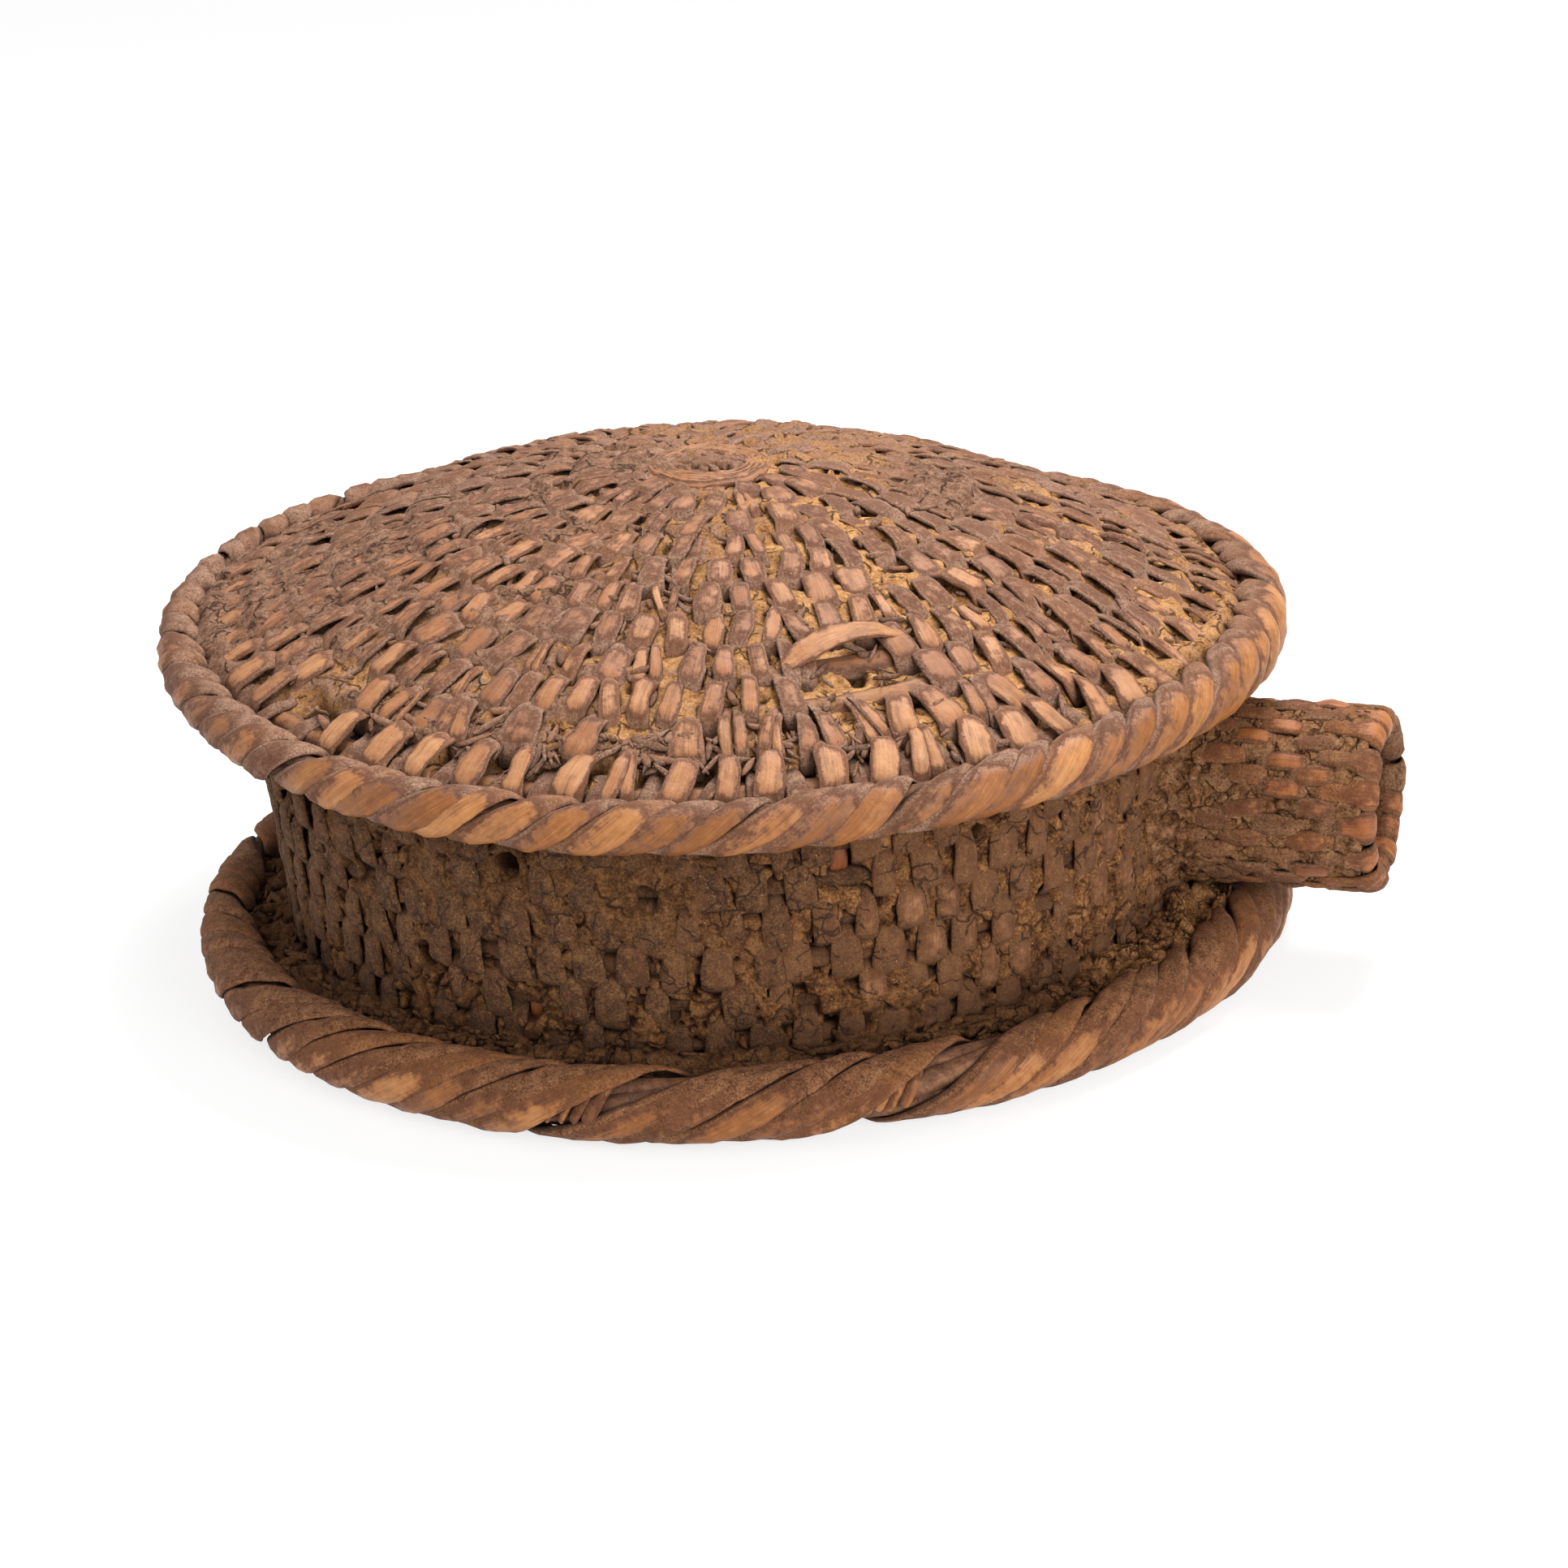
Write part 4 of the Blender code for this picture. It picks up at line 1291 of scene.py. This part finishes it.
def build_bare_splints():
    """Two splints of the wall that show their fresh orange side in holes of the coat."""
    rng = np.random.default_rng(37)
    share = np.linspace(0, 1, 9)
    level, turn = np.array(BARE_SPLINTS).T[:, :, None]
    level, turn = level * MM, np.radians(turn)[..., None]
    along = level + 9.0 * MM * (0.5 - share)
    height = (0.4 + 0.9 * np.sin(np.pi * share))[None] * MM + 0 * along

    def place(a, b, h):
        return wall_at(a, turn + b / WALL_ROUND, h)

    heading = np.pi + 0 * along
    spots, grain, (across, _) = strip_points(place, along, 0 * along, height, heading, 5.5 * MM, SPLINT)
    full = np.ones(across.shape)
    build("bare_splints", spots, tube_faces(*across.shape), bare_look, "willow_splint", [],
          bumps=((3 * MM, 0.15 * MM),), grain=own_grain(grain, rng), worn=full, tone=0.9 * full,
          depth=0.75 * full)


def build_wall_mud():
    """The mud coat with the sealing compound behind it, open where the neck passes."""
    low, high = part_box("wall_splints")[0][2], LEAN_END + 1.5 * MM
    rows = np.arange(high, low, -0.9 * MM)
    count = 1000
    angle = steps_round(count)
    level = np.broadcast_to(rows[:, None], (len(rows), count))
    turn = np.broadcast_to(angle, level.shape)
    flat = wall_at(level, turn, 0 * level)
    height = wall_level(flat, level, turn)
    spots = wall_at(level, turn, height)
    # Low places, and the lower part of the wall, get a smaller depth and so a darker colour: painted shade,
    # together with mud.
    depth = smooth(1.8 * MM, 4.2 * MM, height) * (0.42 + 0.58 * smooth(16 * MM, 44 * MM, level))
    dusty = 0.62 + 0.25 * smooth(3.0 * MM, 5.0 * MM, height) - 0.6 * smooth(40 * MM, 20 * MM, level)
    dusty = dusty - 0.62 * smooth(75, 30, degrees_from(turn, NECK_SIDE))
    backs = np.array([low + 1 * MM, (low + high) / 2, high - 1 * MM])[:, None]
    back = wall_at(backs + 0 * angle, angle + 0 * backs, np.full((3, count), -6.0 * MM))
    pierce(build_coat("wall_mud", spots, back, mud_look, ["wall_mud_coat", "wall_sealing"],
                      ((1.8 * MM, 0.22 * MM), (0.9 * MM, 0.10 * MM)), depth, dusty))


def pierce(piece):
    """Open the neck's passage through a piece of the wall."""
    bpy.ops.mesh.primitive_cylinder_add(
        vertices=64, radius=NECK_BED + 1.0 * MM, depth=80 * MM,
        location=(NECK_FOOT, 0.0, NECK_AXIS), rotation=(0.0, math.pi / 2, 0.0)
    )
    drill = bpy.context.active_object
    opening = piece.modifiers.new("Neck passage", "BOOLEAN")
    opening.operation = "DIFFERENCE"
    opening.solver = "EXACT"
    opening.object = drill
    bpy.context.view_layer.update()
    opened = bpy.data.meshes.new_from_object(piece.evaluated_get(bpy.context.evaluated_depsgraph_get()))
    piece.modifiers.clear()
    old = piece.data
    piece.data = opened
    bpy.data.meshes.remove(old)
    bpy.data.objects.remove(drill)


def build_wall_shoots():
    """The wall's rods; those beside the neck stop short of its hole."""
    for number, (level, node) in enumerate(zip(WALL_ROWS, WALL_ROD_NODES)):
        radius = np.polyval(WALL_CURVE, level)
        reach = math.sqrt(max((NECK_SKIN + 3 * MM) ** 2 - (level - NECK_AXIS) ** 2, 0.0)) / radius

        def hoop(out, turn, up, level=level, radius=radius):
            return wall_at(level - up, turn, out - radius)

        turns = (reach, 2 * math.pi - reach) if reach > 0 else (0.0, 2 * math.pi)
        build_shoot(f"wall_shoot_{number + 1}", hoop, radius, ROD, node, hidden_rod_look, 260 + number, turns)


def build_trough_dirt():
    """Crumbled mud that fills the trough between the wall and the bottom border."""
    inner, outer = 138 * MM, 157 * MM
    count = 900
    radii = np.arange(inner, outer, 0.75 * MM)
    angle = np.broadcast_to(steps_round(count), (len(radii), count))
    radius = np.broadcast_to(radii[:, None], angle.shape)
    flat = flat_at(radius, angle)
    border, own = cracks(flat, 5.5 * MM, 91)
    clods = 5.4 * MM * (own - 0.45) * smooth(0.03, 0.28, border)
    pile = smooth(30, 8, degrees_from(angle, PILE))
    height = 15.5 * MM + clods * (0.7 + pile) + 1.4 * MM * layered(flat, 9 * MM, 93) + 4.5 * MM * pile
    height += 2.5 * MM * smooth(151 * MM, 145 * MM, radius)
    round_hole = np.hypot(degrees_from(angle, ROUND_HOLE) / 1.3, (radius - 148.5 * MM) / (2.8 * MM))
    hollow = smooth(7.0, 4.0, degrees_from(angle, HOLLOW)) * smooth(147 * MM, 150 * MM, radius)
    height -= 7.0 * MM * np.maximum(smooth(1.2, 0.7, round_hole), hollow)
    top = np.stack([flat[..., 0], flat[..., 1], height], axis=-1)
    below = np.stack([flat[[-1, 0], :, 0], flat[[-1, 0], :, 1], np.full((2, count), 8.0 * MM)], axis=-1)
    # Low clods get a darker colour: painted shade in the hollows, together with dirt; the tan pile stays
    # lighter.
    depth = np.clip(smooth(12.0 * MM, 17.5 * MM, height) * (0.45 + 0.6 * pile), 0, 1)
    build_coat("trough_dirt", top, below, dirt_look, ["trough_packing"],
               ((1.8 * MM, 0.5 * MM), (0.9 * MM, 0.2 * MM)), depth, 0.45 - 0.35 * pile)


def build_trough_crumbs():
    """Loose crumbs on the trough's packing."""
    rng = np.random.default_rng(73)
    count = 1100
    along = rng.uniform(140, 152, count) * MM
    angle = rng.uniform(-np.pi, np.pi, count)
    pile = smooth(30, 8, degrees_from(angle, PILE))
    height = 15.2 + 3.8 * pile + rng.uniform(-1.0, 1.6, count)
    height = (height + 1.6 * smooth(151 * MM, 145 * MM, along)) * MM
    hollow = (degrees_from(angle, HOLLOW) < 6.0) & (along > 147 * MM)
    height = np.where(hollow | (degrees_from(angle, ROUND_HOLE) < 2.0), 9.0 * MM, height)
    size = rng.uniform(1.4, 4.2, count) * MM
    start = angle[:, None, None]

    def place(a, b, h):
        turn = start + b / along[:, None, None]
        return np.stack([a * np.cos(turn), a * np.sin(turn), h + 0 * turn], axis=-1)

    spots, _, (across, _) = bits(place, along, 0 * along, height, size, rng)
    shade = rng.uniform(0.25, 0.75, count) + 0.35 * pile
    build("trough_crumbs", spots, tube_faces(*across.shape), dirt_look, "dried_mud", [],
          bumps=((1.6 * MM, 0.35 * MM),), depth=spread_column(shade, across.shape),
          dusty=spread_column(0.5 - 0.4 * pile, across.shape))


# ---------------------------------------------------------------- neck


def neck_grid(first, last, step, count):
    """Angles and distances of a grid round the neck, from first to last."""
    angle = np.broadcast_to(steps_round(count), (round((last - first) / step), count))
    share = np.linspace(0, 1, len(angle))[:, None]
    return angle, first + (last - first) * share + 0 * angle


def build_neck_mud():
    """Mud round the neck: a rough skin that flares out where the neck leaves the wall."""
    skin = np.polyval(WALL_CURVE, NECK_AXIS) + 4.0 * MM
    last = NECK_END - 5.0 * MM
    angle, distance = neck_grid(skin - 11 * MM, last, 0.55 * MM, 288)
    flat = np.stack([distance, 24 * MM * np.sin(angle), 24 * MM * np.cos(angle)], axis=-1)
    wall = np.sqrt(skin**2 - (24 * MM * np.sin(angle)) ** 2)
    root = distance - wall
    height = 3.5 * MM + 0.5 * MM * layered(flat, 9 * MM, 110) + 0.35 * MM * layered(flat, 3 * MM, 113)
    crumbled = smooth(20 * MM, 8 * MM, root)
    border, own = cracks(flat, 4.6 * MM, 117)
    height += crumbled * (1.3 * MM + 1.3 * MM * (own - 0.5) * smooth(0.02, 0.3, border))
    height += 6.5 * MM * smooth(7 * MM, -2 * MM, root) ** 1.6
    seams, _ = cracks(flat + 0.8 * MM * noise(flat, 3 * MM, 118)[..., None], 8 * MM, 119)
    height -= 1.0 * MM * smooth(0.08, 0.0, seams)
    spots = neck_at(distance, angle, height)
    inside = NECK_BORE + 1.0 * MM - NECK_BED
    ends = np.stack([distance[-1], distance[0]])
    back = neck_at(ends, angle[:2], np.full_like(ends, inside))
    # Low places and seams are darkened: painted shade, together with dirt.
    depth = smooth(0.8 * MM, 3.2 * MM, height) * (1 - 0.45 * smooth(0.12, 0.0, seams)) * (1 - 0.20 * crumbled)
    build_coat("neck_mud", spots, back, neck_mud_look, ["neck_mud_collar"],
               ((1.8 * MM, 0.22 * MM), (0.9 * MM, 0.1 * MM)), depth, 0.55 - 0.05 * crumbled)


def build_neck_stitches():
    """Stitches along the neck in brick order, and those of its mouth."""
    rng = np.random.default_rng(41)
    count, stations, pitch = 16, 18, 9.6 * MM
    share = np.linspace(0, 1, stations)
    rows = []
    first = NECK_END - 20.0 * MM
    for number in range(5):
        middle = first - number * pitch
        angles = spread_round(count, 0.07, rng, shift=0.5 * ((number + 1) % 2))
        along = middle + 16.0 * MM * (share - 0.5) + rng.normal(0, 0.8, (count, 1)) * MM
        tilt = rng.normal(0, 0.07, (count, 1))
        side = np.tan(tilt) * (along - middle)
        arch = np.sin(np.pi * np.clip(share, 0.02, 0.98)) ** 0.45
        height = (0.7 + 3.0 * arch) * MM + rng.normal(0, 0.25, (count, 1)) * MM
        width = rng.normal(6.4, 0.5, (count, 1)) * MM * (0.78 + 0.22 * arch)
        rows.append(neck_row(angles, along, side, height, tilt, width, share, rng))
    build_stitches("neck_stitches", rows, neck_look, ["neck_splints"], neck_wear)
    build_mouth_stitches(count, rng)


def build_mouth_stitches(count, rng):
    """Wide stitches that fold over the lip and into the bore."""
    share = np.linspace(0, 1, 30)
    angles = spread_round(count, 0.08, rng)
    along, height = lip_path(share)
    along = along + rng.normal(0, 0.4, (count, 1)) * MM * smooth(0.3, 0.6, share) - 1.2 * MM
    height = height + rng.normal(0, 0.25, (count, 1)) * MM
    tilt = rng.normal(0, 0.05, (count, 1))
    side = np.tan(tilt) * (along - NECK_END + 10 * MM)
    width = rng.normal(6.2, 0.4, (count, 1)) * MM + 5.0 * MM * smooth(0.30, 0.50, share)
    mouth = neck_row(angles, along, side, height, np.zeros((count, 1)), width, share * 0.9, rng)
    build_stitches("neck_mouth_binding", [mouth], neck_look, ["neck_lip_binding"], lambda spots: 0.95)


def neck_wear(spots):
    """The neck is cleanest near its mouth."""
    return 0.72 + 0.38 * smooth(160 * MM, 190 * MM, spots[..., 0])


def lip_path(share):
    """The path of a mouth stitch: along the neck's skin, round the lip, and back along the bore."""
    outer, inner = NECK_SKIN - 0.9 * MM, NECK_BORE + 1.0 * MM
    half = (outer - inner) / 2
    turn_point = NECK_END - half - 0.6 * MM
    straight, back = 15.0 * MM, 9.0 * MM
    whole = straight + np.pi * half + back
    run = share * whole
    angle = np.clip((run - straight) / half, 0, np.pi)
    along = turn_point - np.clip(straight - run, 0, None) + half * np.sin(angle)
    along = along - np.clip(run - straight - np.pi * half, 0, None)
    height = (outer + inner) / 2 + half * np.cos(angle) - NECK_BED
    return along, height - 1.6 * MM * (1 - smooth(0.0, 0.10, share))


def neck_row(angles, along, side, height, tilt, width, share, rng):
    count = len(angles)
    turn = angles[:, None, None]

    def place(a, b, h):
        return neck_at(a, turn + b / NECK_SKIN, h)

    spots, grain, (across, over) = strip_points(place, along, side, height, tilt, width, SPLINT, -0.6 * MM)
    shape = across.shape
    worn = middle_of(share, shape, (0.10, 0.32), (0.74, 0.95))
    worn = worn * (1 - 0.8 * np.abs(across) ** 2.4) * spread_column(rng.uniform(0.35, 1.25, count), shape)
    # Edges, starts that come out from under the row before, and undersides are darkened: painted shade,
    # together with dirt.
    depth = 1 - 0.55 * smooth(0.75, 1.0, np.abs(across)) - 0.3 * (1 - smooth(0.0, 0.12, share))[None, :, None]
    depth = np.broadcast_to(depth, shape) * np.where(over > -0.2, 1.0, 0.6)
    return spots, own_grain(grain, rng), worn, spread_column(rng.random(count), shape), depth


def build_neck_lining():
    """The compound that lines the bore."""
    angle, distance = neck_grid(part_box("neck_sealing")[0][0], NECK_END - 6 * MM, 1.2 * MM, 120)
    flat = np.stack([distance, 20 * MM * np.sin(angle), 20 * MM * np.cos(angle)], axis=-1)
    height = NECK_BORE - NECK_BED + 0.4 * MM * layered(flat, 6 * MM, 120)
    inner = neck_at(distance, angle, height)
    ends = np.stack([distance[-1], distance[0]])
    outer = neck_at(ends, angle[:2], np.full_like(ends, NECK_BORE + 1.6 * MM - NECK_BED))
    points = np.concatenate([inner, outer])
    # The whole lining is darkened evenly: painted shade inside the bore, together with dust.
    values = np.full(points.shape[:2], 0.35)
    build("neck_lining", points, ring_faces([120] * len(points), closed=True), neck_mud_look,
          "sealing_compound", ["neck_sealing"], bumps=((1.8 * MM, 0.2 * MM),), depth=values, dusty=values)


def build_neck_shoots():
    for number, (distance, node) in enumerate(zip(NECK_ROWS, NECK_ROD_NODES)):

        def hoop(out, turn, up, distance=distance):
            return neck_at(distance + up, turn, out - NECK_BED)

        build_shoot(f"neck_shoot_{number + 1}", hoop, NECK_BED, NECK_ROD * 0.9, node, hidden_rod_look,
                    280 + number, leaning_bump=0.15)


# ---------------------------------------------------------------- stage


def build_floor():
    """A plain floor, as pale as the surrounding."""
    bpy.ops.mesh.primitive_plane_add(size=12.0, location=(0.0, 0.0, 0.0))
    floor = bpy.context.active_object
    floor.name = "floor"
    paper = Look("Pale floor")
    tooth = paper.bump(paper.noise(300.0, detail=2.0), 0.1 * MM, 0.1)
    floor.data.materials.append(paper.finish((0.24, 0.24, 0.24), 0.9, tooth, shine=0.1))
    paper.shader.inputs["Emission Color"].default_value = (1.0, 1.0, 1.0, 1.0)
    paper.shader.inputs["Emission Strength"].default_value = 0.78


def build_lights():
    """Soft light from above, from the right and from the left, and a pale surrounding."""
    world = bpy.data.worlds.new("Studio")
    bpy.context.scene.world = world
    world.use_nodes = True
    world.node_tree.nodes["Background"].inputs["Color"].default_value = (1.0, 1.0, 1.0, 1.0)
    world.node_tree.nodes["Background"].inputs["Strength"].default_value = 0.68
    soft_light("Overhead", (0.15, 0.45, 1.25), (0.0, 0.0, 0.05), 0.6, 18.5)
    soft_light("Right", (1.25, -0.9, 0.66), (0.0, 0.0, 0.05), 0.8, 17.0)
    soft_light("Left", (-1.3, -0.9, 0.8), (0.0, 0.0, 0.05), 0.9, 5.0)
    bpy.context.scene.view_settings.view_transform = "Standard"


def soft_light(name, place, target, size, power):
    light = bpy.data.lights.new(name, "AREA")
    light.size = size
    light.energy = power
    lamp = bpy.data.objects.new(name, light)
    lamp.location = place
    lamp.rotation_euler = (Vector(target) - Vector(place)).to_track_quat("-Z", "Y").to_euler()
    bpy.context.scene.collection.objects.link(lamp)


def build_camera():
    """The viewpoint: in front and above, turned 20 degrees towards the neck, and rolled a little."""
    azimuth, elevation, roll = (math.radians(angle) for angle in (20.0, 21.217, 3.39))
    distance, beside, height = 1.0896, 0.01392, 0.04151
    level = math.cos(elevation)
    forward = Vector((-math.sin(azimuth) * level, math.cos(azimuth) * level, -math.sin(elevation)))
    level_right = Vector((math.cos(azimuth), math.sin(azimuth), 0.0))
    level_up = level_right.cross(forward)
    right = level_right * math.cos(roll) - level_up * math.sin(roll)
    up = level_right * math.sin(roll) + level_up * math.cos(roll)
    target = level_right * beside + Vector((0.0, 0.0, height))
    lens = bpy.data.cameras.new("Camera")
    lens.sensor_width = 36.0
    lens.lens = 80.12
    lens.clip_start = 0.01
    camera = bpy.data.objects.new("Camera", lens)
    turned = Matrix((right, up, -forward)).transposed().to_4x4()
    camera.matrix_world = Matrix.Translation(target - forward * distance) @ turned
    bpy.context.scene.collection.objects.link(camera)
    bpy.context.scene.camera = camera


# ---------------------------------------------------------------- the flask

build_camera()
build_floor()
build_lights()
build_top_stitches()
build_lifted_splinter()
build_top_bits()
build_disc_fill("top_compound", top_at, top_level, 156.0 * MM, 6.5 * MM, ["top_sealing"], top_dusty)
build_coil("crown_coil", top_at, TOP_CURVE, "top_start_coil", COIL, 51)
build_base_stitches()
build_disc_fill("base_compound", base_at, base_level, 154.5 * MM, 5.0 * MM, ["bottom_sealing"], base_dusty)
build_coil("base_coil", base_at, BASE_CURVE, "bottom_start_coil", COIL, 57)
build_face_shoots()
build_overhang_stitches()
build_border(
    "top_border_wrapping", TOP_BORDER, top_tube, leaning=True, turn=wrap_turns(75, 21), width=10.8 * MM,
    slant=math.radians(39), start=156, end=-135, seed=21, look=border_look, nodes=["top_border_wrap"],
    swell=1.1 * MM, dusty=(50, 105), wear=top_border_wear
)
build_border(
    "bottom_border_wrapping", BASE_BORDER, base_tube, leaning=False, turn=wrap_turns(68, 22, BORDER_GAPS),
    width=9.4 * MM, slant=math.radians(31), start=150, end=-125, seed=22, look=base_border_look,
    nodes=["bottom_border_wrap"], swell=0.6 * MM, dusty=(5, 75), wear=base_border_wear
)
build_border(
    "bottom_border_ends", BASE_BORDER, sunk_tube, leaning=False, turn=np.radians(GAP_ENDS),
    width=4.0 * MM, slant=math.radians(62), start=95, end=-20, seed=24, look=base_border_look,
    nodes=[], swell=0.4 * MM, dusty=(5, 75), wear=base_border_wear
)
build_bundle("top_border_bundle", TOP_BORDER, 5.6 * MM, True, "top_border_core")
build_bundle("bottom_border_bundle", BASE_BORDER, 7.8 * MM, False, "bottom_border_core")
build_wall_stitches()
build_bare_splints()
build_wall_mud()
build_wall_shoots()
build_trough_dirt()
build_trough_crumbs()
build_neck_mud()
build_neck_stitches()
build_neck_lining()
build_neck_shoots()
